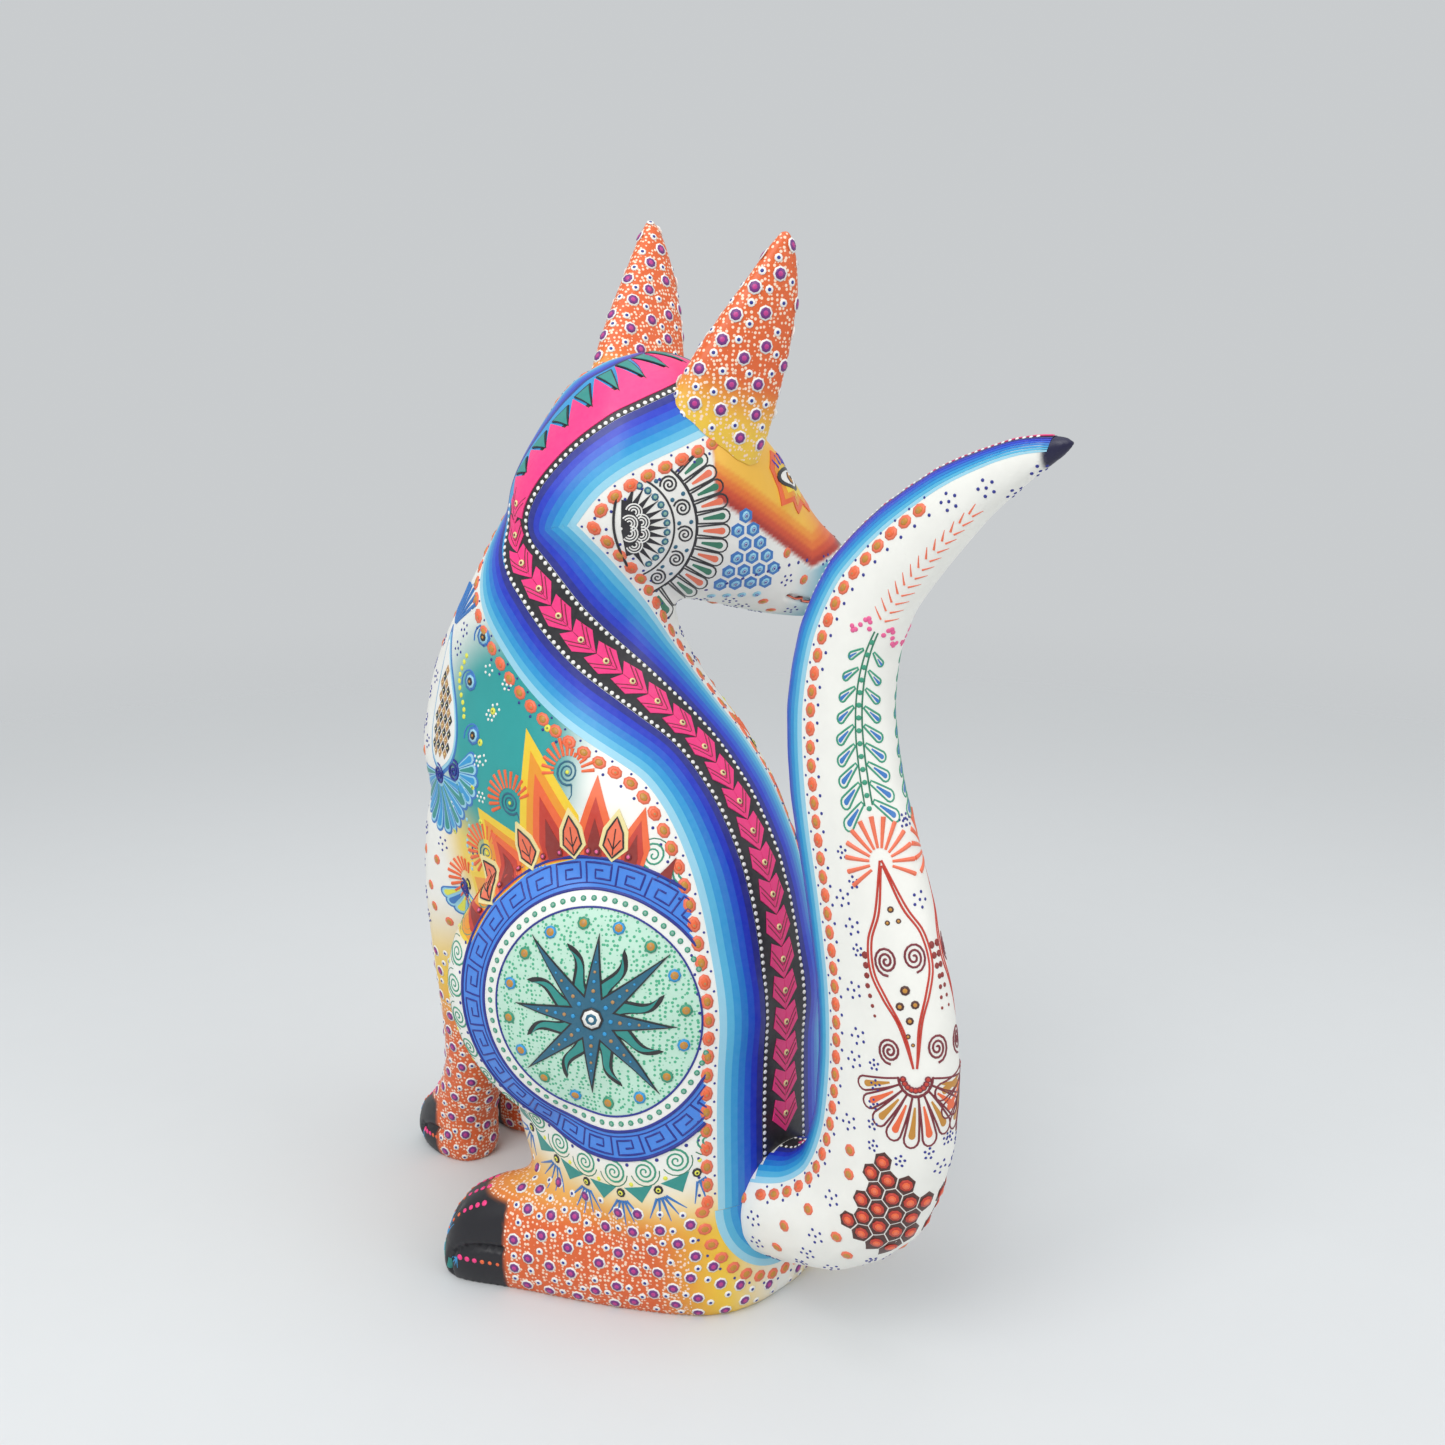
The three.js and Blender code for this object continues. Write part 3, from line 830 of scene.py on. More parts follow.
class Brush:
    """Paints one area of a body through a chart. Sizes are millimetres and angles are degrees.

    LAYER is the thickness of one layer, EDGE the width of the bevel round filled paint, and SHAPE_FOOT and
    BAND_FOOT how deep such paint's rim stands in the surface. SINK is how much of a line's half width is sunk.
    """

    BEAD_HEIGHT = 0.22
    BEAD_GROWTH = 0.12
    BEAD_FULL = 1.5
    STRIDE = 1.6
    LAYER = 0.16
    EDGE = 0.16
    SHAPE_FOOT = -0.25
    BAND_FOOT = -0.2
    SINK = 0.35

    def __init__(self, area: str, body: str, chart: Chart) -> None:
        """Starts an area.

        Args:
            area: The name that its pieces start with.
            body: What they ride on.
            chart: Where the drawing lies.
        """
        self.area, self.body, self.chart = area, body, chart
        self.coats: dict[Paint, Coat] = {}

    def coat(self, paint: Paint) -> Coat:
        """The coat of a colour, begun when first asked for."""
        return self.coats.setdefault(paint, Coat(paint))

    def lay(self, x: float, y: float, height: float) -> Optional[Vector]:
        """The point a height above the surface under a place in the drawing."""
        site = self.chart.site(x, y)
        return None if site is None else site[0] + site[1] * height

    def dot(self, x: float, y: float, radius: float, paint: Paint, tall: Optional[float] = None,
            angle: float = 0, layer: float = 0) -> None:
        """One round or oval bead.

        Args:
            x: Place across the drawing.
            y: Place up the drawing.
            radius: Half its width.
            paint: Its colour.
            tall: Half its height, if it isn't round.
            angle: How far it is turned.
            layer: How many layers of paint it lies on.
        """
        site = self.chart.site(x, y)
        ahead = self.chart.at(*polar(0.5, angle, (x, y)))
        if site is None or ahead is None:
            return
        self.bead(*site, ahead[0] - site[0], radius, tall or radius, paint, layer)

    def bead(self, point: Vector, normal: Vector, across: Vector, radius: float, tall: float, paint: Paint,
             layer: float) -> None:
        """One bead at a place on the surface.

        Args:
            point: The place.
            normal: The surface's direction there.
            across: Which way its width lies.
            radius: Half its width.
            tall: Half its height.
            paint: Its colour.
            layer: How many layers of paint it lies on.
        """
        across = (across - normal * across.dot(normal)).normalized()
        turn = Matrix((across, normal.cross(across), normal)).transposed()
        lift = layer * self.LAYER
        half_height = self.BEAD_HEIGHT + self.BEAD_GROWTH * min(radius, self.BEAD_FULL)
        self.coat(paint).beads.append((point + normal * lift, turn, (radius, tall, half_height)))

    def ringed(self, x: float, y: float, radii: Sequence[float], paints: Sequence[Paint], layer: float = 0,
               stretch: float = 1, angle: float = 0) -> None:
        """Beads on beads, the widest first."""
        for i, (radius, paint) in enumerate(zip(radii, paints)):
            self.dot(x, y, radius, paint, tall=radius * stretch, angle=angle, layer=layer + i)

    def cluster(self, place: Point2, radius: float, paint: Paint, count: int = 5, spread: float = 1.9) -> None:
        """Small dots in a ring."""
        for k in range(count):
            self.dot(*polar(spread, 360 / count * k, place), radius, paint)

    def line(self, points: Iterable[Point2], width: float, paint: Paint, closed: bool = False,
             taper: float = 1, layer: float = 0) -> None:
        """A liner stroke through the points.

        Args:
            points: Its path.
            width: Its width where it starts.
            paint: Its colour.
            closed: True joins its ends.
            taper: Its last width as a share of its first.
            layer: How many layers of paint it lies on.
        """
        half = width / 2
        path = []
        for x, y in refined(list(points), self.STRIDE, closed=closed):
            found = self.lay(x, y, layer * self.LAYER - half * self.SINK)
            if found is None:
                self.stroke(path, half, paint, False, taper)
                path = []
                closed = False
            else:
                path.append(found)
        self.stroke(path, half, paint, closed, taper)

    def stroke(self, path: list[Vector], half: float, paint: Paint, closed: bool, taper: float) -> None:
        """Adds a path on the surface to its coat, if it is long enough to be one."""
        if len(path) > 1:
            ends = len(path) - 1
            widths = [half * (1 + (taper - 1) * i / ends) for i in range(len(path))]
            self.coat(paint).lines.append((path, widths, closed))

    def fill(self, outline: Sequence[Point2], paint: Paint, layer: float = 0, height: float = 0.14,
             middle: Optional[Point2] = None, grain: float = 3) -> bool:
        """A filled shape that every part of its outline can be seen from middle.

        Args:
            outline: Its corners, in order.
            paint: Its colour.
            layer: How many layers of paint it lies on.
            height: How thick its paint is.
            middle: The point it is filled from, or its mean point.
            grain: Spacing of the points that follow the surface.

        Returns:
            False if some of it would lie off the surface or under something else, so that it was left out.
        """
        edge = list(refined(outline, grain))
        if signed_area(edge) < 0:
            edge.reverse()
        cx, cy = middle or (sum(p[0] for p in edge) / len(edge), sum(p[1] for p in edge) / len(edge))
        spans = [math.hypot(x - cx, y - cy) for x, y in edge]
        size = max(spans)
        inner = max(1, math.ceil(size / grain))
        top = layer * self.LAYER + height
        rings: list[list[Optional[Vector]]] = []
        rings.append([self.lay(x, y, self.SHAPE_FOOT) for x, y in edge])
        for k in range(inner):
            ring = []
            for (x, y), span in zip(edge, spans):
                share = max(0.0, 1 - (self.EDGE / max(span, 1e-6))) * (1 - k / inner)
                ring.append(self.lay(cx + (x - cx) * share, cy + (y - cy) * share, top))
            rings.append(ring)
        hub = self.lay(cx, cy, top)
        if hub is None or any(p is None for ring in rings for p in ring):
            return False
        coat = self.coat(paint)
        first = len(coat.points)
        count = len(edge)
        for ring in rings:
            coat.points += ring
        coat.points.append(hub)
        order = -1 if self.chart.flip else 1
        for k in range(len(rings) - 1):
            for i in range(count):
                a, b = first + k * count + i, first + k * count + (i + 1) % count
                coat.faces.append((a, b, b + count, a + count)[::order])
        last = first + (len(rings) - 1) * count
        for i in range(count):
            coat.faces.append((last + i, last + (i + 1) % count, first + len(rings) * count)[::order])
        return True

    def band(self, low: Callable[[float], Point2], high: Callable[[float], Point2], paint: Paint, steps: int,
             columns: int = 3, layer: float = 0, height: float = 0.12, closed: bool = False) -> None:
        """A filled strip between two edges that run side by side.

        Args:
            low: One edge, for 0 to 1 along it.
            high: The other edge.
            paint: Its colour.
            steps: How many pieces it is divided into along its length.
            columns: How many across.
            layer: How many layers of paint it lies on.
            height: How thick its paint is.
            closed: True joins its ends.
        """
        top = layer * self.LAYER + height
        rows = []
        for i in range(steps + (0 if closed else 1)):
            (x0, y0), (x1, y1) = low(i / steps), high(i / steps)
            span = max(math.hypot(x1 - x0, y1 - y0), 1e-6)
            bevel = min(self.EDGE / span, 0.3)
            shares = [0, *np.linspace(bevel, 1 - bevel, columns + 1), 1]
            heights = [self.BAND_FOOT, *[top] * (columns + 1), self.BAND_FOOT]
            rows.append([self.lay(x0 + (x1 - x0) * share, y0 + (y1 - y0) * share, up)
                         for share, up in zip(shares, heights)])
        coat = self.coat(paint)
        width = len(rows[0])
        first = len(coat.points)
        coat.points += [p if p is not None else Vector((0, 0, 0)) for row in rows for p in row]
        along = (low(1e-3)[0] - low(0)[0], low(1e-3)[1] - low(0)[1])
        across = (high(0)[0] - low(0)[0], high(0)[1] - low(0)[1])
        order = 1 if along[0] * across[1] - along[1] * across[0] > 0 else -1
        if self.chart.flip:
            order = -order
        for i in range(steps):
            k = (i + 1) % len(rows)
            for j in range(width - 1):
                if any(p is None for p in (*rows[i][j:j + 2], *rows[k][j:j + 2])):
                    continue
                a, b = first + i * width + j, first + k * width + j
                coat.faces.append((a, b, b + 1, a + 1)[::order])

    def lengthwise(self, start: float, end: float, low: Callable[[float], float],
                   high: Callable[[float], float], paint: Paint, columns: int, height: float,
                   layer: float = 0) -> None:
        """A filled strip that runs along a strip chart.

        Args:
            start: Where it starts along the chart.
            end: Where it ends.
            low: How far across the chart its one edge is, for a place along it.
            high: How far across its other edge is.
            paint: Its colour.
            columns: How many cells it has across.
            height: How thick its paint is.
            layer: How many layers of paint it lies on.
        """
        def edge(share: float, across: Callable[[float], float]) -> Point2:
            """A place on one edge."""
            x = start + (end - start) * share
            return x, across(x)
        self.band(lambda t: edge(t, low), lambda t: edge(t, high), paint, cell_count(end - start), columns,
                  layer, height)

    def finish(self) -> None:
        """Makes each colour of the area a piece."""
        for paint, coat in self.coats.items():
            name = f"{self.area}_{paint.name.lower()}"
            mesh = coat.mesh(name)
            if not mesh.polygons:
                continue
            made = add_object(name, mesh, Acrylic(paint).material())
            made["painted_on"] = self.body
            finish_piece(made, self.body)


def signed_area(points: Sequence[Point2]) -> float:
    """Area inside an outline, above zero if it runs anticlockwise."""
    pairs = zip(points, [*points[1:], points[0]])
    return sum(a[0] * b[1] - b[0] * a[1] for a, b in pairs) / 2


def refined(points: Sequence[Point2], step: float, closed: bool = True) -> list[Point2]:
    """The outline with extra points, so that none are more than step apart."""
    made = []
    ends = [*points[1:], points[0]] if closed else points[1:]
    for a, b in zip(points, ends):
        count = max(1, math.ceil(math.dist(a, b) / step))
        made += [(a[0] + (b[0] - a[0]) * i / count, a[1] + (b[1] - a[1]) * i / count) for i in range(count)]
    return made if closed else [*made, points[-1]]


def turned(point: Point2, degrees: float, origin: Point2 = (0, 0)) -> Point2:
    """A point turned about the drawing's origin and then moved to origin."""
    a = math.radians(degrees)
    return (origin[0] + point[0] * math.cos(a) - point[1] * math.sin(a),
            origin[1] + point[0] * math.sin(a) + point[1] * math.cos(a))


def polar(radius: float, degrees: float, origin: Point2 = (0, 0)) -> Point2:
    """A point by distance and direction from origin."""
    return turned((radius, 0), degrees, origin)


def spiral(origin: Point2, radius: float, turns: float, degrees: float, hand: int = 1) -> list[Point2]:
    """A spiral's path from its centre out to radius.

    Args:
        origin: Its centre.
        radius: Its outer radius.
        turns: How many times it goes round.
        degrees: The direction in which it ends.
        hand: 1 for anticlockwise, -1 for clockwise.
    """
    count = max(10, round(14 * turns))
    sweep = 360 * turns * hand
    return [polar(radius * (0.08 + 0.92 * i / count), degrees - sweep * (1 - i / count), origin)
            for i in range(count + 1)]


def curved(points: Sequence[Point2], step: float = 1.5) -> list[Point2]:
    """A smooth curve through the points."""
    return [(p.x, p.y) for p in smooth_path([(x, y, 0) for x, y in points], step)]


def petal(origin: Point2, degrees: float, length: float, width: float, root: float = 0.25) -> list[Point2]:
    """A drop-shaped outline: narrow at its root, round at its far end.

    Args:
        origin: Where its root is.
        degrees: Which way it points.
        length: From root to tip.
        width: At its widest.
        root: Its root's width as a share of width.
    """
    half = width / 2
    stem = length - half
    made = [(0, -half * root), (stem * 0.5, -half * (0.5 + root / 2))]
    made += [polar(half, a, (stem, 0)) for a in range(-90, 91, 30)]
    made += [(stem * 0.5, half * (0.5 + root / 2)), (0, half * root)]
    return [turned(p, degrees, origin) for p in made]


# ---------------------------------------------------------------- the carved and painted skin

@dataclass(frozen=True)
class Blank:
    """Glue planes of the blank and the grain of its carving, in figure millimetres."""

    neck_z: float = 243
    hind_x: float = 34
    hind_top: float = 172
    leg_y: float = -52
    fore_top: float = 150
    voxel: float = 1.3
    swell: float = 0.3
    sanding: int = 22


BLANK = Blank()
BLOCKS = ("torso", "head", "left_foreleg", "right_foreleg", "left_hind_leg", "right_hind_leg")
GLUED = ("neck_dowel_front", "neck_dowel_rear", "left_hip_dowel", "right_hip_dowel", "left_knee_dowel",
         "right_knee_dowel", "left_shoulder_dowel", "right_shoulder_dowel")
HEAD_TURN = math.radians(105)
FORWARD = Vector((-math.sin(HEAD_TURN), -math.cos(HEAD_TURN), 0))
SIDE = Vector((FORWARD.y, -FORWARD.x, 0))
HEAD_PIVOT = Vector((-6, -14, 0))
TAIL_TILT = 0.3


@dataclass(frozen=True)
class Fitting:
    """Where a loose piece plugs in, and how it is carved, in figure millimetres.

    Attributes:
        axis: The direction in which it pulls off.
        seat: Where its peg leaves the figure's skin.
        bore: Radius of the peg's bore.
        sunk: Depth of the bore in the figure.
        raised: How far up the piece the bore goes.
        below: How far below the seat the piece's cutter starts.
        stump: Radius within which the figure's skin is pressed flat under the piece.
        voxel: Grain of its carving.
        sanding: Rounds of smoothing.
    """

    axis: Vector
    seat: Vector
    bore: float = 5.3
    sunk: float = 20.3
    raised: float = 30.3
    below: float = 25
    stump: float = 6.2
    voxel: float = 0.9
    sanding: int = 8


def pull_axis(body: str) -> Vector:
    """The direction in which the frame's joint pulls a body off."""
    return next(Vector(joint["axis"]) for joint in frame["joints"] if joint["child"] == body)


EARS = {"right_ear": Fitting(pull_axis("right_ear"), Vector((-16.9, 18.9, 317))),
        "left_ear": Fitting(pull_axis("left_ear"), Vector((-31.9, -37.1, 322)))}
TAIL = Fitting(Vector((0, math.cos(TAIL_TILT), math.sin(TAIL_TILT))), Vector((0, 78, 43)), bore=6.8, sunk=30.3,
               raised=26.3, below=34, stump=8, voxel=1.1, sanding=14)
FITTINGS = {**EARS, "tail": TAIL}


@dataclass(frozen=True)
class PawPlan:
    """One paw of the animal's left side. The right side mirrors it.

    Attributes:
        heel: Where its length is measured from.
        tips: The middle of its toes, on the floor.
        line: The way its toes point.
        start: How far from the heel the cuts between its toes start.
        end: How far from the heel they end.
        toe: Width of one toe.
        size: Its size as a share of a hind paw's.
        brush_z: Height at which its toes are painted.
        black: How far from the heel its black starts.
        black_top: How high its black goes.
    """

    heel: Vector
    tips: Vector
    line: Vector
    start: float
    end: float
    toe: float
    size: float
    brush_z: float
    black: float
    black_top: float

    def along(self, skin: Surface, side: int) -> tuple[np.ndarray, np.ndarray]:
        """How far each skin point lies along the paw from its heel, and across it."""
        line = mirrored(self.line, side)
        away = skin.points - np.array(mirrored(self.heel, side))
        return away @ np.array(line), away @ np.array(Vector((line.y, -line.x, 0)))


PAWS = {"hind": PawPlan(heel=Vector((22.5, 55, 0)), tips=Vector((64.8, -24, 0)), line=Vector((0.47, -0.883, 0)),
                        start=74, end=112, toe=7.6, size=1, brush_z=12, black=74, black_top=34),
        "fore": PawPlan(heel=Vector((18, -86, 0)), tips=Vector((18, -112, 0)), line=Vector((0, -1, 0)),
                        start=16, end=60, toe=5.8, size=0.76, brush_z=10, black=18, black_top=26)}
MOUTH = ((104, 2, 257), (96, 10, 254), (84, 14, 253), (72, 17, 254), (62, 19, 257))


def mirrored(point: Vector, side: int) -> Vector:
    """A point of the animal's left side, moved to its right if side is -1."""
    return Vector((point.x * side, point.y, point.z))


def head_point(u: float, v: float, z: float) -> Vector:
    """A point by head distances: u forward, v towards the head's right, and height."""
    return HEAD_PIVOT + FORWARD * u + SIDE * v + Vector((0, 0, z))


def mouth_line(side: int) -> list[Vector]:
    """The line of the lips on one side of the head: 1 for its right, -1 for its left."""
    return [head_point(u, v * side, z) for u, v, z in MOUTH]


def box_cutter(low: Sequence[float], high: Sequence[float]) -> bpy.types.Object:
    """A box between two corners in figure millimetres, with the bare wood of a sawn glue face."""
    shape = bmesh.new()
    bmesh.ops.create_cube(shape, size=1)
    low_v, high_v = Vector(low), Vector(high)
    for vert in shape.verts:
        vert.co = Vector([a if c < 0 else b for c, a, b in zip(vert.co, low_v, high_v)])
    shape.transform(Matrix.Scale(MM, 4) @ Matrix.Translation(ORIGIN))
    mesh = bpy.data.meshes.new("box_cutter")
    shape.to_mesh(mesh)
    shape.free()
    return add_object("box_cutter", mesh, TurnedCopal().material())


def shade_cuts(made: bpy.types.Object, skin: Surface) -> None:
    """Gives skin faces the whole skin's normals and paint, so that glued seams don't show. Cut faces stay flat."""
    mesh = made.data
    whole = skin.tree()
    normals = skin.normals()
    place = np.zeros(len(mesh.vertices) * 3)
    mesh.vertices.foreach_get("co", place)
    place = from_row(place.reshape(-1, 3))
    smooth = []
    painted = {"wash": (skin.wash, []), "speck": (skin.speck, []), "stipple": (skin.stipple[:, None], [])}
    for point in place:
        found, _, index, _ = whole.find_nearest(Vector(point))
        ends = list(skin.faces[index])
        weights = 1 / np.maximum(np.linalg.norm(skin.points[ends] - np.array(found), axis=1), 1e-3)
        weights /= weights.sum()
        total = weights @ normals[ends]
        smooth.append(total / max(np.linalg.norm(total), 1e-9))
        for values, kept in painted.values():
            kept.append(weights @ values[ends])
    for key in ("wash", "speck"):
        rgba = np.hstack([np.array(painted[key][1]), np.ones((len(place), 1))])
        mesh.attributes[key].data.foreach_set("color", rgba.astype(np.float32).ravel())
    mesh.attributes["stipple"].data.foreach_set("value", np.array(painted["stipple"][1], np.float32).ravel())
    split = []
    for polygon in mesh.polygons:
        cut_face = polygon.material_index > 0
        polygon.use_smooth = not cut_face
        for k in polygon.vertices:
            split.append(tuple(polygon.normal) if cut_face else tuple(smooth[k]))
    mesh.normals_split_custom_set(split)


class CarvedFigure:
    """The glued-up blank as one carved skin, sawn at its glue planes into the six blocks."""

    OUTSIDE = 600

    def __init__(self) -> None:
        """Carves, sands and washes the skin."""
        blank = swollen((*BLOCKS, *GLUED, "right_ear_peg", "left_ear_peg", "tail_peg"), BLANK.swell)
        self.skin = remeshed(blank, BLANK.voxel)
        self.skin.points -= self.skin.normals() * BLANK.swell * 0.5
        self.drop_loose_ends()
        self.skin.relax(BLANK.sanding)
        Chisel(self.skin).carve()
        self.tree = self.skin.tree()
        Airbrush(self.skin).figure()

    def drop_loose_ends(self) -> None:
        """Cuts back the ends of the pegs that stand out of the skin: they are pieces of their own."""
        for fitting in FITTINGS.values():
            self.press(fitting)

    def press(self, fitting: Fitting) -> None:
        """Pushes a standing peg down to the surface round it."""
        radius, axis = fitting.stump, np.array(fitting.axis)
        away = self.skin.points - np.array(fitting.seat)
        along = away @ axis
        out = np.linalg.norm(away - along[:, None] * axis, axis=1)
        near = (out > radius + 1) & (out < radius + 5) & (np.abs(along) < 14)
        level = float(np.median(along[near])) if near.any() else 0.0
        standing = (out < radius + 0.6) & (along > level)
        self.skin.points[standing] -= (along[standing] - level)[:, None] * axis

    def build(self) -> None:
        """Saws the skin into its blocks."""
        whole = self.skin.mesh("figure_skin")
        whole.materials.append(AirbrushedGround().material())
        b, far = BLANK, self.OUTSIDE
        fore = ((-far, -far, -far), (far, b.leg_y, b.fore_top))
        hind = {"left_hind_leg": ((b.hind_x, b.leg_y, -far), (far, far, b.hind_top)),
                "right_hind_leg": ((-far, b.leg_y, -far), (-b.hind_x, far, b.hind_top))}
        boxes = {"head": ((-far, -far, b.neck_z), (far, far, far)), **hind,
                 "left_foreleg": ((0, -far, -far), fore[1]),
                 "right_foreleg": (fore[0], (0, b.leg_y, b.fore_top))}
        for name, (low, high) in boxes.items():
            made = add_object(f"painted_{name}", whole.copy())
            cut(made, box_cutter(low, high), "INTERSECT")
            if name == "head":
                for ear in EARS.values():
                    self.bore(made, ear)
            self.close(made, name)
        torso = add_object("painted_torso", whole.copy())
        for low, high in (boxes["head"], fore, *hind.values()):
            cut(torso, box_cutter(low, high))
        self.bore(torso, TAIL)
        self.close(torso, "torso")

    def bore(self, made: bpy.types.Object, fitting: Fitting) -> None:
        """Bores the hole for a loose piece's peg."""
        top = fitting.seat + fitting.axis * 30
        cut(made, rod(fitting.seat - fitting.axis * fitting.sunk, top, fitting.bore))

    def close(self, made: bpy.types.Object, node: str) -> None:
        """Finishes one block."""
        shade_cuts(made, self.skin)
        finish_piece(made, FIGURE, nodes=(node,))


class LoosePiece:
    """An ear or the tail: carved apart, and fitted to the figure's skin where it seats."""

    ROOT = 6
    FIT = 0.25
    SWELL = 0.15

    def __init__(self, name: str, fitting: Fitting) -> None:
        """Carves and sands the piece a little past its seat.

        Args:
            name: Its node, and the body it is.
            fitting: How it is carved and where it seats.
        """
        self.name, self.fitting = name, fitting
        blank = swollen((name, f"{name}_peg"), self.SWELL)
        longer = bmesh.new()
        longer.from_mesh(blank.data)
        count = len(longer.verts)
        longer.from_mesh(blank.data)
        longer.verts.ensure_lookup_table()
        bmesh.ops.translate(longer, verts=longer.verts[count:], vec=-fitting.axis * self.ROOT * MM)
        longer.to_mesh(blank.data)
        longer.free()
        self.skin = remeshed(blank, fitting.voxel)
        self.skin.relax(fitting.sanding, floor=False)
        self.tree = self.skin.tree()

    def build(self, figure: Surface) -> None:
        """Cuts the seat to the figure's skin and bores the peg's hole."""
        mesh = self.skin.mesh(f"painted_{self.name}")
        mesh.materials.append(AirbrushedGround().material())
        made = add_object(f"painted_{self.name}", mesh)
        grown = Surface(figure.points + figure.normals() * self.FIT, figure.faces)
        cut(made, add_object("grown", grown.mesh("grown"), TurnedCopal().material()))
        seat, axis = self.fitting.seat, self.fitting.axis
        cut(made, rod(seat - axis * self.fitting.below, seat + axis * self.fitting.raised, self.fitting.bore))
        keep_largest(made)
        shade_cuts(made, self.skin)
        finish_piece(made, self.name, nodes=(self.name,))


def keep_largest(made: bpy.types.Object) -> None:
    """Drops every loose part of a mesh but the largest."""
    shape = bmesh.new()
    shape.from_mesh(made.data)
    left = set(shape.verts)
    groups = []
    while left:
        start = left.pop()
        group, edge = [start], [start]
        while edge:
            for link in edge.pop().link_edges:
                for vert in link.verts:
                    if vert in left:
                        left.remove(vert)
                        group.append(vert)
                        edge.append(vert)
        groups.append(group)
    groups.sort(key=len)
    for group in groups[:-1]:
        bmesh.ops.delete(shape, geom=group, context="VERTS")
    shape.to_mesh(made.data)
    shape.free()


class Chisel:
    """Carves the features that stand on the skin: toes, eyes, mouth and nostrils."""

    def __init__(self, skin: Surface) -> None:
        """Takes the skin to carve."""
        self.skin = skin
        self.normals = skin.normals()

    def carve(self) -> None:
        """Carves everything."""
        for side in (1, -1):
            for paw in PAWS.values():
                self.toes(paw, side)
            for paw in PAWS.values():
                self.outer_toe(paw, side)
        for side in (1, -1):
            eyeball, brow, nostril = (54, 26 * side, 297), (50, 20 * side, 310), (100, 5.5 * side, 268)
            self.swell_at(head_point(*eyeball), 7.0, 2.4)
            self.swell_at(head_point(*brow), 9.0, 1.6)
            self.swell_at(head_point(*nostril), 2.6, -1.6)
            self.groove(mouth_line(side), 1.5, 2.0)

    def toes(self, paw: PawPlan, side: int) -> None:
        """Three grooves between four toes."""
        along, across = paw.along(self.skin, side)
        low = 1 - smooth_step(self.skin.points[:, 2], 22, 30)
        within = (along < paw.end) * low * (np.abs(across) < 26)
        reach = smooth_step(along, paw.start, paw.start + 10) * within
        depth = sum(np.exp(-((across - paw.toe * k) / 1.4) ** 2) for k in (-1, 0, 1))
        self.skin.points -= self.normals * (depth * reach * 1.9)[:, None]

    def outer_toe(self, paw: PawPlan, side: int) -> None:
        """A groove that parts the outermost toe from the paw's flank."""
        line = mirrored(paw.line, side)
        out = Vector((-line.y * side, line.x * side, 0))
        tree = self.skin.tree()
        route = [mirrored(paw.tips, side) + (out * 18 - line * back + Vector((0, 0, up))) * paw.size
                 for back, up in ((-12, 1), (-11, 8), (-6, 14), (3, 17), (14, 18))]
        self.groove([tree.find_nearest(point)[0] for point in route], 1.3, 2.2)

    def swell_at(self, centre: Vector, radius: float, height: float) -> None:
        """Raises a round swelling, or sinks a pit if height is below zero."""
        far = np.linalg.norm(self.skin.points - np.array(centre), axis=1)
        self.skin.points += self.normals * (height * np.exp(-(far / radius) ** 2 * 1.6))[:, None]

    def groove(self, path: Sequence[Vector], width: float, depth: float) -> None:
        """A V-tool cut along a path that runs close to the surface."""
        line = np.array(smooth_path(path, 1.2))
        self.skin.points -= self.normals * (depth * np.exp(-(self.nearest(line) / width) ** 2))[:, None]

    def nearest(self, line: np.ndarray) -> np.ndarray:
        """Distance from each skin point to the line's nearest point."""
        best = np.full(len(self.skin.points), 1e9)
        for point in line:
            best = np.minimum(best, np.linalg.norm(self.skin.points - point, axis=1))
        return best


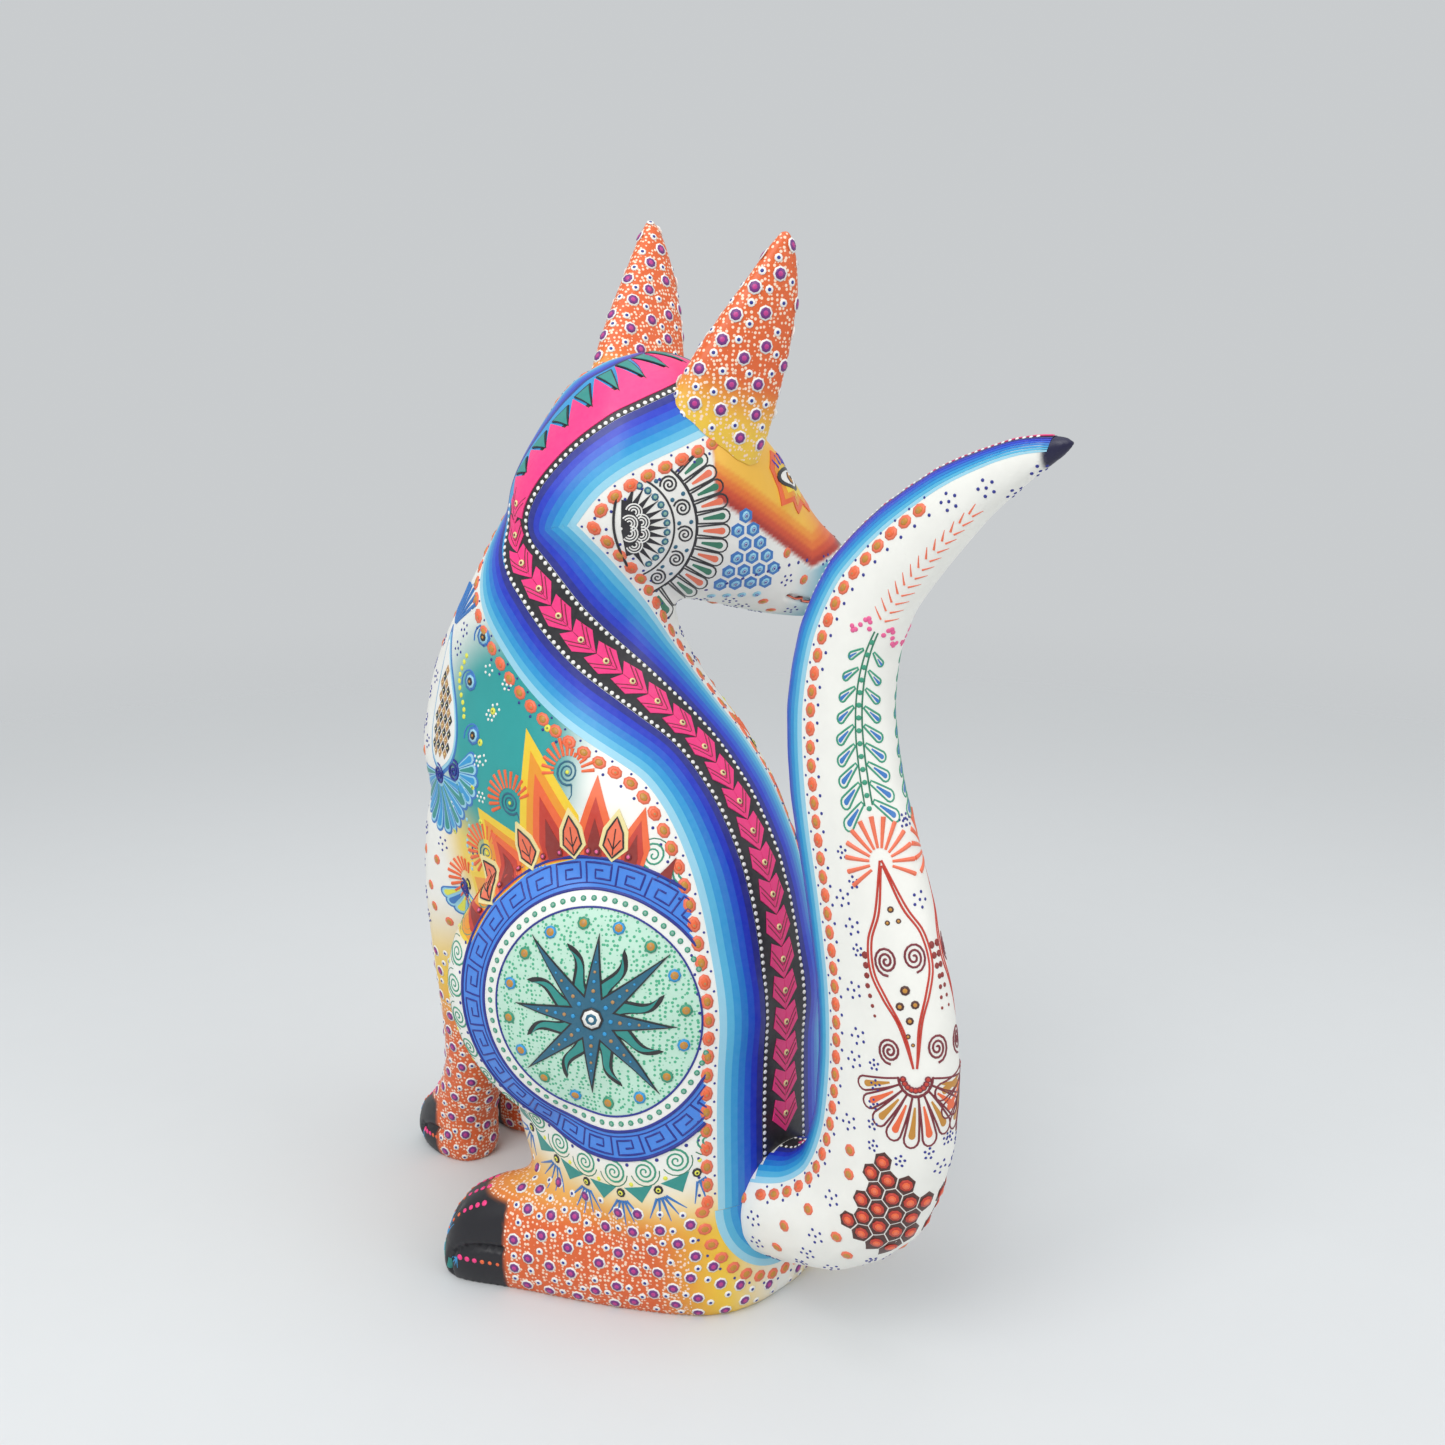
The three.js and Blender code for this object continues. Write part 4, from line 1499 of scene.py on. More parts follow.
class Airbrush:
    """Sets the ground's colour and stipple on every point of a skin."""

    WHITE = np.array(linear("#F0EFE8")[:3])
    SUNSET = ("#AE3327", "#D04C2A", "#E5722B", "#EF9931", "#F4BC42")
    SUNSET_BAND = 3.4
    YELLOW = "#F3C93C"
    ORANGE = "#E0652F"
    LEG_SPECK = "#F8D9C0"
    TOE_BLACK = "#1B1A20"

    def __init__(self, skin: Surface) -> None:
        """Starts from a white skin with no stipple."""
        self.skin = skin
        count = len(skin.points)
        skin.wash = np.tile(self.WHITE, (count, 1))
        skin.speck = np.tile(self.WHITE, (count, 1))
        skin.stipple = np.zeros(count)
        self.x, self.y, self.z = skin.points.T

    def spray(self, share: np.ndarray, colour: str) -> None:
        """Sprays a colour over a share of each point's ground."""
        goal = np.array(linear(colour)[:3])
        keep = np.clip(share, 0, 1)[:, None]
        self.skin.wash = self.skin.wash * (1 - keep) + goal * keep

    def stippled(self, where: np.ndarray, colour: str) -> None:
        """Dots a colour finely over the points where where is above a half."""
        self.skin.speck[where > 0.5] = linear(colour)[:3]
        self.skin.stipple = np.maximum(self.skin.stipple, where)

    def figure(self) -> None:
        """Washes the glued-up figure."""
        for side in (1, -1):
            self.hind(side)
            self.foreleg(side)
        self.haunches()
        self.head()

    def loose(self, name: str) -> None:
        """Washes an ear, orange at its tip and yellow at its base. The tail stays white."""
        if name == "tail":
            self.spray(smooth_step(self.y, 171, 173), "#141238")
            return
        up = (self.skin.points - np.array(EARS[name].seat)) @ np.array(EARS[name].axis)
        self.spray(np.ones_like(up), "#F2C744")
        self.spray(smooth_step(up, 8, 30), self.ORANGE)
        self.stippled(smooth_step(up, -4, 4), "#F8DCC2")

    def hind(self, side: int) -> None:
        """Orange hocks that fade up through yellow, stippled white, with black toes."""
        along, _ = PAWS["hind"].along(self.skin, side)
        leg = (self.x * side > 3) * (self.y > BLANK.leg_y)
        low = 1 - smooth_step(self.z, 36, 64)
        yellow = leg * low * smooth_step(along, -30, -10)
        orange = leg * (1 - smooth_step(self.z, 30, 52)) * smooth_step(along, -14, 16)
        self.leg(PAWS["hind"], side, leg, yellow, orange)

    def foreleg(self, side: int) -> None:
        """Orange wrists over black toes, fading up to white."""
        leg = (self.x * side > -0.5) * (self.y < BLANK.leg_y)
        yellow = leg * (1 - smooth_step(self.z, 95, 140))
        orange = leg * (1 - smooth_step(self.z, 62, 100))
        self.leg(PAWS["fore"], side, leg, yellow, orange)

    def leg(self, paw: PawPlan, side: int, leg: np.ndarray, yellow: np.ndarray, orange: np.ndarray) -> None:
        """Washes one leg.

        Args:
            paw: Its paw.
            side: 1 for the animal's left, -1 for its right.
            leg: Which points are the leg's.
            yellow: How much yellow each point gets.
            orange: How much stippled orange it then gets.
        """
        self.spray(yellow, self.YELLOW)
        self.spray(orange, self.ORANGE)
        self.stippled(orange, self.LEG_SPECK)
        along, _ = paw.along(self.skin, side)
        toes = leg * smooth_step(along, paw.black, paw.black + 1.6)
        toes = toes * (1 - smooth_step(self.z, paw.black_top, paw.black_top + 2))
        self.spray(toes, self.TOE_BLACK)
        self.skin.stipple = self.skin.stipple * (1 - toes)

    def haunches(self) -> None:
        """Mint ground in the middle of each haunch, a yellow glow before it, and teal mist above it."""
        for side in (1, -1):
            centre, facing, up, right = haunch_axes(side)
            away = self.skin.points - np.array(centre)
            px, py, out = away @ np.array(right), away @ np.array(up), away @ np.array(facing)
            near, flank = np.hypot(px, py), self.x * side > 12
            here = (out > -30) * flank
            self.spray(here * (1 - smooth_step(near, 38, 40)), "#BFE3CF")
            self.stippled(here * (near < 39), "#4FAE86")
            fore = flank * smooth_step(out, -78, -64) * smooth_step(near, 54, 57)
            glow = 1 - smooth_step(np.hypot(px + 56, (py - 44) / 1.1), 12, 30)
            self.spray(fore * glow, "#F2CF52")
            mist = 1 - smooth_step(np.hypot(px + 46, (py - 88) / 1.3), 22, 44)
            self.spray(fore * mist, "#2A9C9A")

    def head(self) -> None:
        """Sunset bands over the face, blue fading in under the jaw, and a teal nose."""
        away = self.skin.points - np.array(HEAD_PIVOT)
        u = away @ np.array(FORWARD)
        above = self.z - np.where(u < 70, 296 - (u - 20) * 0.55, 268.5 + (u - 70) * 0.3)
        face = smooth_step(u, 14, 16) * (self.z > 250)
        for k, colour in enumerate(self.SUNSET):
            hem = self.SUNSET_BAND * k
            self.spray(face * smooth_step(above, hem - 0.8, hem + 0.8), colour)
        self.spray(face * smooth_step(u, 60, 88) * smooth_step(above, 6, 12) * 0.8, "#DF5B2B")
        jaw = smooth_step(u, 58, 84) * (1 - smooth_step(above, -2, 0)) * (self.z > 240)
        self.spray(jaw, "#2E9DB8")
        self.spray(smooth_step(u, 86, 98) * smooth_step(self.z, 252, 259), "#23807F")


def haunch_axes(side: int) -> tuple[Vector, Vector, Vector, Vector]:
    """The haunch medallion's centre, outward direction, up and right, for one side of the animal."""
    facing = Vector((0.874 * side, 0.486, 0))
    up = Vector((0, 0, 1))
    right = up.cross(facing) * side
    return Vector((55.4 * side, 32.1, 119.3)), facing, up, right


# ---------------------------------------------------------------- painted bands

STEPS = (Paint.NAVY, Paint.ROYAL, Paint.COBALT, Paint.AZURE, Paint.SKY, Paint.AQUA, Paint.PALE)
STEP_WIDTH = 2.7
STEP_HEIGHT = 0.09
STEP_DROP = 0.02
STEP_LAP = 0.15
OVAL_GAP = 4.2
CELL = 2.2


def step_height(k: int) -> float:
    """How thick the k-th blue's paint is: each laps the one outside it."""
    return STEP_HEIGHT + STEP_DROP * (len(STEPS) - k)


def cell_count(length: float) -> int:
    """How many cells a band of this length is divided into."""
    return round(length / CELL)


def march(chart: Chart, across: Callable[[float], float], pitch: float, start: float,
          end: float) -> list[float]:
    """Places along a strip that are pitch apart on the surface at a given distance across it."""
    made, last = [], None
    x = start
    while x < end:
        site = chart.at(x, across(x))
        if site is not None and (last is None or (site[0] - last).length >= pitch):
            made.append(x)
            last = site[0]
        x += 0.2
    return made


def stepped_bands(brush: Brush, inner: Callable[[float], float], width: Callable[[float], float], hand: int,
                  end: float) -> None:
    """Seven blues side by side, dark to pale, each step lapping the one outside it.

    Args:
        brush: The area's brush.
        inner: How far across the first one starts, for a place along the strip.
        width: How wide one of them is there.
        hand: 1 or -1, the side of the strip.
        end: Where they end along the strip.
    """
    for k, paint in enumerate(STEPS):
        def edge(share: float, count: float) -> Point2:
            """A place on the line between two blues."""
            x = end * share
            return x, hand * (inner(x) + count * width(x))
        brush.band(lambda t: edge(t, k), lambda t: edge(t, k + 1 + STEP_LAP), paint, cell_count(end), columns=2,
                   height=step_height(k))


def oval_border(brush: Brush, across: Callable[[float], float], start: float, end: float, pitch: float = 6.9,
                size: float = 2.7) -> None:
    """A row of orange ovals with gilt centres, and small navy dots between them."""
    places = march(brush.chart, across, pitch, start, end)
    for i, x in enumerate(places):
        y = across(x)
        brush.dot(x, y, size * 1.16, Paint.CORAL, tall=size * 0.92)
        brush.dot(x, y, size * 0.66, Paint.GOLD if i % 3 else Paint.ORANGE, tall=size * 0.5, layer=1.4)
        brush.dot(x - 0.4, y, size * 0.26, Paint.TAN, tall=size * 0.2, layer=2.4)
        side = 1 if y > 0 else -1
        brush.dot(x + pitch / 2, y + side * 2.9, 0.62, Paint.NAVY)
        brush.dot(x + pitch / 2, y - side * 2.9, 0.5, Paint.NAVY)


def bead_row(brush: Brush, across: Callable[[float], float], pitch: float, radius: float, paint: Paint,
             start: float, end: float, layer: float = 0) -> None:
    """A row of equal dots along a strip."""
    for x in march(brush.chart, across, pitch, start, end):
        brush.dot(x, across(x), radius, paint, layer=layer)


@dataclass(frozen=True)
class SpineSizes:
    """The pattern's sizes across the back, in millimetres: low at the rump, and high at the crown."""

    black_low: float = 12.0
    black_high: float = 8.2
    braid_low: float = 7.2
    braid_high: float = 5.2
    link: float = 12.0
    bead: float = 0.85
    bead_pitch: float = 2.5
    crown_start: float = 18.5
    crown_low: float = -5.4
    crown_high: float = 3.2
    spike: float = 14.0


class SpineBand:
    """The braid that climbs the back, crosses the left shoulder and runs up the nape to the ears."""

    PATH = ((0, 74, 46), (0, 74, 64), (0, 74, 86), (-1, 73, 107), (-1, 71, 132), (-1, 66, 158), (-1, 56, 181),
            (0, 44, 198), (4, 30, 214), (12, 20, 225), (20, 12, 235), (28, 4, 244), (36, -6, 257),
            (40, -14, 270), (41, -24, 279), (40, -27, 288), (38, -24, 298), (35, -18, 309), (28, -11, 320),
            (19, -1, 330), (7, 8, 338), (-6, 11, 344), (-20, 10, 349), (-34, 5, 351))
    FORK = 290
    REACH = 44
    LEAD = 14
    WIDENING = 56
    SPIKES = 9
    NODE_REACH = 3.4

    def __init__(self, tree: BVHTree, hidden: Callable[[Vector], bool]) -> None:
        """Lays the strip over the figure.

        Args:
            tree: The figure's surface.
            hidden: Tells which places another piece covers.
        """
        self.sizes = SpineSizes()
        self.strip = Strip(tree, self.PATH, self.REACH)
        self.strip.hidden = hidden
        self.nodes = kd_tree(self.strip.grid.reshape(-1, 3))
        self.fork = self.where(self.FORK)
        self.end = self.strip.length - 2
        self.brush = Brush("spine", FIGURE, self.strip)

    def where(self, height: float) -> float:
        """How far along the strip it first reaches a height."""
        middle = self.strip.grid[:, self.strip.side_count, 2]
        row = int(np.argmax(middle > height))
        return float(self.strip.along[row])

    def black(self, x: float) -> float:
        """Half width of the black ground."""
        return self.narrowed(x, self.sizes.black_low, self.sizes.black_high)

    def braid(self, x: float) -> float:
        """Half width of the pink braid."""
        return self.narrowed(x, self.sizes.braid_low, self.sizes.braid_high)

    def narrowed(self, x: float, low: float, high: float) -> float:
        """A size that goes from low at the rump to high at the crown, where it stays."""
        return low + (high - low) * min(1.0, x / self.fork)

    def outer(self, x: float) -> float:
        """Where the blues start on the far side, which makes room for the spikes on the crown."""
        grow = min(1.0, max(0.0, (x - self.fork + self.LEAD) / self.WIDENING))
        return self.black(x) + (self.sizes.crown_start - self.black(x)) * grow

    def far_step(self, x: float) -> float:
        """How wide one blue is on the far side: they narrow over the crown."""
        run = self.end - self.fork + self.LEAD
        return STEP_WIDTH * (1 - 0.5 * max(0.0, (x - self.fork + self.LEAD) / run))

    def rim(self, x: float, hand: int) -> float:
        """How far across the ovals' centres run, on the near side (-1) or the far side (1)."""
        if hand < 0:
            return self.black(x) + len(STEPS) * STEP_WIDTH + OVAL_GAP
        return self.outer(x) + len(STEPS) * self.far_step(x) + OVAL_GAP

    def build(self) -> None:
        """Paints all of it."""
        brush, end, fork = self.brush, self.end, self.fork
        stepped_bands(brush, self.black, lambda x: STEP_WIDTH, -1, end)
        stepped_bands(brush, self.outer, self.far_step, 1, end)
        start = fork - self.LEAD
        brush.lengthwise(start, end, lambda x: 4.0, lambda x: self.outer(x) + 0.4, Paint.SKY, columns=4,
                         height=0.2)
        brush.lengthwise(1, end, lambda x: -self.black(x), self.top, Paint.BLACK, columns=6, height=0.26)
        oval_border(brush, lambda x: -self.rim(x, -1), 4, end - 26)
        oval_border(brush, lambda x: self.rim(x, 1), 4, end - 20)
        for edge, stop in ((-1, end), (1, fork + 4)):
            bead_row(brush, lambda x: edge * (self.black(x) - 0.9), self.sizes.bead_pitch, self.sizes.bead,
                     Paint.WHITE, 2, stop, layer=2)
        links = int((fork - 4) / self.sizes.link)
        for i in range(links):
            self.link(fork + 6 - i * self.sizes.link)
        self.crown()

    def under_tail(self, tree: BVHTree) -> None:
        """Carries the outer blues and the ovals round the underside of the tail's root."""
        chart = Projected(tree, Vector((0, 74, 46)), Vector((0, 1, 0)), reach=40)
        chart.hidden = self.strip.hidden
        brush = Brush("rump", FIGURE, chart)
        for k, paint in enumerate(STEPS[2:], 2):
            low, high = self.black(0) + k * STEP_WIDTH, self.black(0) + (k + 1) * STEP_WIDTH + 0.4
            brush.band(lambda t: polar(low, 180 + 180 * t), lambda t: polar(high, 180 + 180 * t), paint, 44, 2,
                       height=step_height(k))
        radius = self.black(0) + len(STEPS) * STEP_WIDTH + OVAL_GAP
        count = 16
        for i in range(count + 1):
            place = polar(radius, 180 + 180 * i / count)
            brush.ringed(*place, (2.9, 1.7), (Paint.CORAL, Paint.GOLD), stretch=0.85)
            brush.dot(*polar(radius + 3, 185.5 + 180 * i / count), 0.6, Paint.NAVY)
        brush.finish()

    def top(self, x: float) -> float:
        """The far edge of the black ground: on the crown the pink covers it."""
        return self.black(x) if x < self.fork else self.black(x) * 0.7

    def link(self, x: float) -> None:
        """One link of the braid: two wings that meet in a point below, with cut lines and a ringed dot."""
        brush, w = self.brush, self.braid(x)
        length = self.sizes.link
        for side in (-1, 1):
            wing = [(x - length * 0.58, 0), (x - length * 0.02, side * w), (x + length * 0.62, side * w * 0.74),
                    (x + length * 0.41, 0)]
            brush.fill(wing, Paint.PINK, layer=1.6, height=0.26 + 0.05 * (side > 0))
            for k in (0.14, 0.34):
                brush.line([(x + length * (k - 0.5), side * 0.3), (x + length * (k + 0.06), side * w * 0.82)],
                           0.42, Paint.MAROON, layer=3.6)
        brush.ringed(x + 0.4, 0, (1.3, 0.75), (Paint.CREAM, Paint.MAROON), layer=4)

    def crown(self) -> None:
        """The solid pink crest, its spikes, and the teal wedges between them."""
        brush, start, end = self.brush, self.fork + 2, self.end
        low, high = self.sizes.crown_low, self.sizes.crown_high
        brush.lengthwise(start, end, lambda x: low, lambda x: high, Paint.PINK, columns=4, height=0.3, layer=2)
        pitch = (end - start - 6) / self.SPIKES
        for i in range(self.SPIKES):
            x = start + 4 + pitch * (i + 0.5)
            tall = self.sizes.spike * (0.4 + 0.6 * min(1, (i + 1) / 6))
            half = pitch * 0.5
            spike = [(x + half * 0.9, high - 0.6), (x + half * 0.2, high + tall), (x - half * 0.9, high - 0.6)]
            wedge_x = x + half
            wedge = [(wedge_x - half * 0.55, high + tall * 0.95), (wedge_x + half * 0.62, high + tall * 0.95),
                     (wedge_x + half * 0.1, high - 0.2)]
            brush.fill(spike, Paint.PINK, layer=2, height=0.3)
            outline = [(wedge_x + (px - wedge_x) * 1.28, high + tall * 0.5 + (py - high - tall * 0.5) * 1.2)
                       for px, py in wedge]
            brush.fill(outline, Paint.BLACK, layer=3, height=0.26)
            brush.fill(wedge, Paint.TEAL, layer=4, height=0.3)

    def covers(self, point: Vector) -> bool:
        """True where the band and its borders lie, so that other paint keeps off."""
        _, index, distance = self.nodes.find(point)
        if distance > self.NODE_REACH:
            return False
        row, column = divmod(index, 2 * self.strip.side_count + 1)
        x = float(self.strip.along[row])
        y = (column - self.strip.side_count) * self.strip.step
        return abs(y) < self.rim(x, 1 if y > 0 else -1)


class TailBand:
    """The blues and the ovals that climb the tail's inner face."""

    PATH = ((0, 66, 63), (0, 74, 64), (0, 84, 67), (0, 93, 74), (0, 99, 88), (0, 100, 115), (0, 97, 145),
            (0, 91, 174), (0, 85, 204), (0, 83, 234), (0, 88, 262), (0, 99, 284), (0, 120, 303), (0, 142, 316),
            (0, 162, 323), (0, 178, 326))
    INNER = 4.6
    STEP = 2.3
    BORDER = 25.0

    def __init__(self, tree: BVHTree, hidden: Callable[[Vector], bool]) -> None:
        """Lays the strip up the tail, where the figure doesn't hide it."""
        self.strip = Strip(tree, self.PATH, 36, step=1.3)
        self.strip.hidden = hidden
        self.brush = Brush("tail_band", "tail", self.strip)
        self.end = self.strip.length - 3

    def scale(self, x: float) -> float:
        """How the pattern narrows with the tail."""
        share = x / self.strip.length
        return 1.0 if share < 0.45 else 1.0 - 0.72 * ((share - 0.45) / 0.55) ** 1.5

    def build(self) -> None:
        """Paints all of it."""
        brush, end = self.brush, self.end
        inner, step = self.INNER, self.STEP
        for k, paint in enumerate(STEPS):
            for hand in (-1, 1):
                low, high = hand * (inner + k * step), hand * (inner + (k + 1) * step + 0.35)
                brush.lengthwise(0, end, lambda x: low * self.scale(x), lambda x: high * self.scale(x), paint,
                                 columns=2, height=step_height(k))
        brush.lengthwise(0, end, lambda x: -4.8 * self.scale(x), lambda x: 4.8 * self.scale(x), Paint.BLACK,
                         columns=3, height=0.26)
        for i in range(int(end / 10)):
            x = end - 4 - i * 10
            w = 3.0 * self.scale(x)
            for hand in (-1, 1):
                brush.fill([(x - 6, 0), (x - 1, hand * w), (x + 3.4, hand * w * 0.6), (x + 2.8, 0)], Paint.PINK,
                           layer=1.6, height=0.26)
        for hand in (-1, 1):
            bead_row(brush, lambda x: hand * 4.0 * self.scale(x), 2.3, 0.62, Paint.WHITE, 2, end - 4, layer=2)
            oval_border(brush, lambda x: hand * self.BORDER * self.scale(x), 6, end * 0.86, size=2.4, pitch=6.2)


# ---------------------------------------------------------------- the haunch

class Haunch:
    """The sun medallion on the haunch, its key-pattern rim, and the flames above it.

    Each of SPIKES is a flame's direction, height and half spread, and each of FANS a place's direction and
    distance, and the way its strokes point.
    """

    BEADS = 41.6
    BEAD_COUNT = 66
    KEYS = 26
    SPIRALS = 60.6
    SCALLOPS = 30
    FLAME_ROOT = 60
    SPIKES = ((152, 74, 15), (133, 86, 15), (110, 103, 17), (93, 98, 14), (79, 84, 12), (65, 72, 13),
              (50, 64, 12))
    TONES = (Paint.YELLOW, Paint.AMBER, Paint.ORANGE, Paint.RED, Paint.BRICK)
    FANS = ((121, 80, 118), (101, 85, 98), (140, 71, 146), (86, 84, 70), (70, 74, 50), (158, 74, 168))

    def __init__(self, tree: BVHTree, side: int, hidden: Callable[[Vector], bool]) -> None:
        """Holds the drawing up to one haunch.

        Args:
            tree: The figure's surface.
            side: 1 for the animal's left, -1 for its right.
            hidden: Tells where the spine's band lies.
        """
        centre, facing, up, _ = haunch_axes(side)
        chart = Projected(tree, centre, facing, up, flip=side < 0, reach=60)
        chart.hidden = hidden
        self.brush = Brush("left_haunch" if side > 0 else "right_haunch", FIGURE, chart)

    def build(self) -> None:
        """Paints it from the outside in."""
        self.flames()
        self.rim()
        self.rays()
        self.jewels()
        self.skirt()

    def ring(self, radius: float, width: float, paint: Paint, layer: float = 1) -> None:
        """A liner circle."""
        count = max(24, round(radius * 2.6))
        self.brush.line([polar(radius, 360 * i / count) for i in range(count)], width, paint, closed=True,
                        layer=layer)

    def disc_band(self, inner: float, outer: float, paint: Paint, layer: float = 0, columns: int = 3) -> None:
        """A flat ring."""
        count = max(36, round(outer * 4))
        self.brush.band(lambda t: polar(inner, 360 * t), lambda t: polar(outer, 360 * t), paint, count, columns,
                        layer=layer, closed=True)

    def rim(self) -> None:
        """White ring of sage dots, blue key ring, and the ring of spirals."""
        brush = self.brush
        self.disc_band(38.6, 44.6, Paint.WHITE)
        self.disc_band(44.2, 55.6, Paint.KEY, columns=9)
        for radius, width in ((38.8, 0.8), (44.6, 1.3), (55.4, 1.5)):
            self.ring(radius, width, Paint.NAVY, layer=1.5)
        for i in range(self.BEAD_COUNT):
            brush.ringed(*polar(self.BEADS, i * 360 / self.BEAD_COUNT), (1.15, 0.7), (Paint.JADE, Paint.SAGE),
                         layer=1)
        self.keys()
        middle, pitch = self.SPIRALS, 360 / self.SCALLOPS
        for i in range(self.SCALLOPS):
            angle = i * pitch
            brush.line(spiral(polar(middle, angle), 4.7, 2.4, angle + 180), 0.7, Paint.JADE, taper=1.3)
            brush.ringed(*polar(65.0, angle + pitch / 2), (0.9,), (Paint.LEMON,))
            brush.dot(*polar(57.4, angle + pitch / 2), 0.75, Paint.NAVY)
        for i in range(self.SCALLOPS):
            bow = [turned((5.6, 0), a) for a in range(-80, 81, 20)]
            brush.line([polar(middle + x, i * pitch + math.degrees(y / middle)) for x, y in bow], 0.5,
                       Paint.GREEN)

    def keys(self) -> None:
        """The key pattern: one hooked line for each unit of the ring."""
        hook = ((0, 0.1), (0, 0.9), (0.82, 0.9), (0.82, 0.28), (0.3, 0.28), (0.3, 0.62), (0.56, 0.62))
        inner, deep, count = 45.6, 8.8, self.KEYS
        for i in range(count):
            for points, share, width in ((hook, 0.98, 0.85), (((0, 0.1), (1, 0.1)), 1, 0.6)):
                path = refined(points, 0.3, closed=False)
                self.brush.line([polar(inner + deep * v, -360 * (i + u * share) / count) for u, v in path],
                                width, Paint.NAVY, layer=1)

    def rays(self) -> None:
        """Eight wavy rays behind eight long star points."""
        brush = self.brush
        for i in range(8):
            self.wavy_ray(i * 45 + 20, 27)
        for i in range(8):
            angle = i * 45 - 3
            tip = 35 if i % 2 else 29
            self.point(angle, tip + 1.6, 4.6, Paint.BLACK, 1.6)
            self.point(angle, tip - 1.6, 3.6, Paint.PETROL, 2.6)
            for k in range(5):
                brush.dot(*polar(7 + k * 3.4, angle), 0.85 - 0.1 * k, Paint.TAN if k % 2 else Paint.SKY,
                          layer=4.2)

    def point(self, angle: float, tip: float, half: float, paint: Paint, layer: float) -> None:
        """One long straight star point."""
        self.brush.fill([polar(0, 0), polar(7.5, angle - half * 7), polar(tip, angle),
                         polar(7.5, angle + half * 7)],
                        paint, layer=layer, middle=polar(7, angle))

    def wavy_ray(self, angle: float, tip: float) -> None:
        """One teal ray that snakes as it narrows, edged in black."""
        for grow, paint, layer in ((0.75, Paint.BLACK, 0.4), (0, Paint.TEAL, 1.2)):
            length = tip + (0.8 if grow else -1)

            def edge(share: float, side: int) -> Point2:
                """A place on one side of the ray."""
                r = 4 + (length - 4) * share
                sway = 1.9 * math.sin(share * math.tau * 1.05) * (0.3 + share)
                half = (2.9 * (1 - share) ** 0.8 + grow) * min(1.0, (1.02 - share) * 14)
                return turned((r, sway + side * half), angle)
            self.brush.band(lambda t: edge(t, -1), lambda t: edge(t, 1), paint, 16, 2, layer=layer)

    def jewels(self) -> None:
        """The hub and the ring of gilt dots."""
        brush = self.brush
        brush.ringed(0, 0, (4.6, 3.7, 2.5, 1.3), (Paint.BLACK, Paint.WHITE, Paint.PETROL, Paint.WHITE),
                     layer=4.6)
        for i in range(16):
            place = polar(33.6, i * 22.5 + 8)
            ring = Paint.SKY if i % 2 else Paint.JADE
            brush.ringed(*place, (2.5, 1.7, 0.9), (ring, Paint.GOLD, Paint.TAN), layer=1.4)

    def skirt(self) -> None:
        """Scallops, triangles and brush fans under the rim."""
        brush = self.brush
        for i in range(13):
            angle = 196 + i * 12.6
            a, b, tip = polar(66.3, angle - 5), polar(66.3, angle + 5), polar(72.5, angle)
            brush.fill([a, b, tip], Paint.TEAL)
            brush.ringed(*polar(68.4, angle + 6.3), (1.9, 1.2, 0.6), (Paint.BLACK, Paint.LEMON, Paint.BLACK),
                         layer=0.5)
            for k in range(-2, 3):
                start = polar(71.5, angle + 6.3 + k * 0.7)
                brush.line([start, polar(81.5 - abs(k) * 1.4, angle + 6.3 + k * 2.6)], 1.3, Paint.DENIM,
                           taper=0.5)

    def flames(self) -> None:
        """Nested zigzag flames over the medallion, with leaves at their roots and fans behind."""
        self.fans()
        brush, root = self.brush, self.FLAME_ROOT
        for k, paint in enumerate(self.TONES):
            for angle, tip, spread in self.SPIKES:
                half = spread * (0.68 - 0.12 * k)
                peak = tip - (tip - root) * 0.19 * k
                valley = min(root + (tip - root) * 0.3, 70) - 2.4 * k
                brush.fill([polar(root - 5, angle - half), polar(valley, angle - half), polar(peak, angle),
                            polar(valley, angle + half), polar(root - 5, angle + half)], paint,
                           layer=0.7 * k, height=0.14, middle=polar(root + 2, angle))
        for (a, _, _), (b, _, _) in zip(self.SPIKES, self.SPIKES[1:]):
            self.leaf((a + b) / 2)

    def leaf(self, angle: float) -> None:
        """One coral leaf outlined in black with a forked vein, and a dot on each side of its root."""
        brush = self.brush
        shape = [polar(56, angle), polar(60, angle - 3.6), polar(65, angle - 2.6), polar(70, angle),
                 polar(65, angle + 2.6), polar(60, angle + 3.6)]
        ground = [polar(54.4, angle), polar(59.6, angle - 5.4), polar(66, angle - 4.2), polar(73, angle),
                  polar(66, angle + 4.2), polar(59.6, angle + 5.4)]
        if not brush.fill(ground, Paint.CREAM, layer=3.8):
            return
        brush.fill(shape, Paint.CORAL, layer=4.8)
        brush.line(shape, 0.75, Paint.BLACK, closed=True, layer=6)
        brush.line([polar(57, angle), polar(66, angle)], 0.5, Paint.BLACK, layer=6)
        for side in (-1, 1):
            brush.line([polar(59, angle), polar(62.5, angle + side * 2.2)], 0.5, Paint.BLACK, layer=6)
            brush.ringed(*polar(57.5, angle + side * 6), (1.3, 0.8), (Paint.MAROON, Paint.ROSE), layer=5)

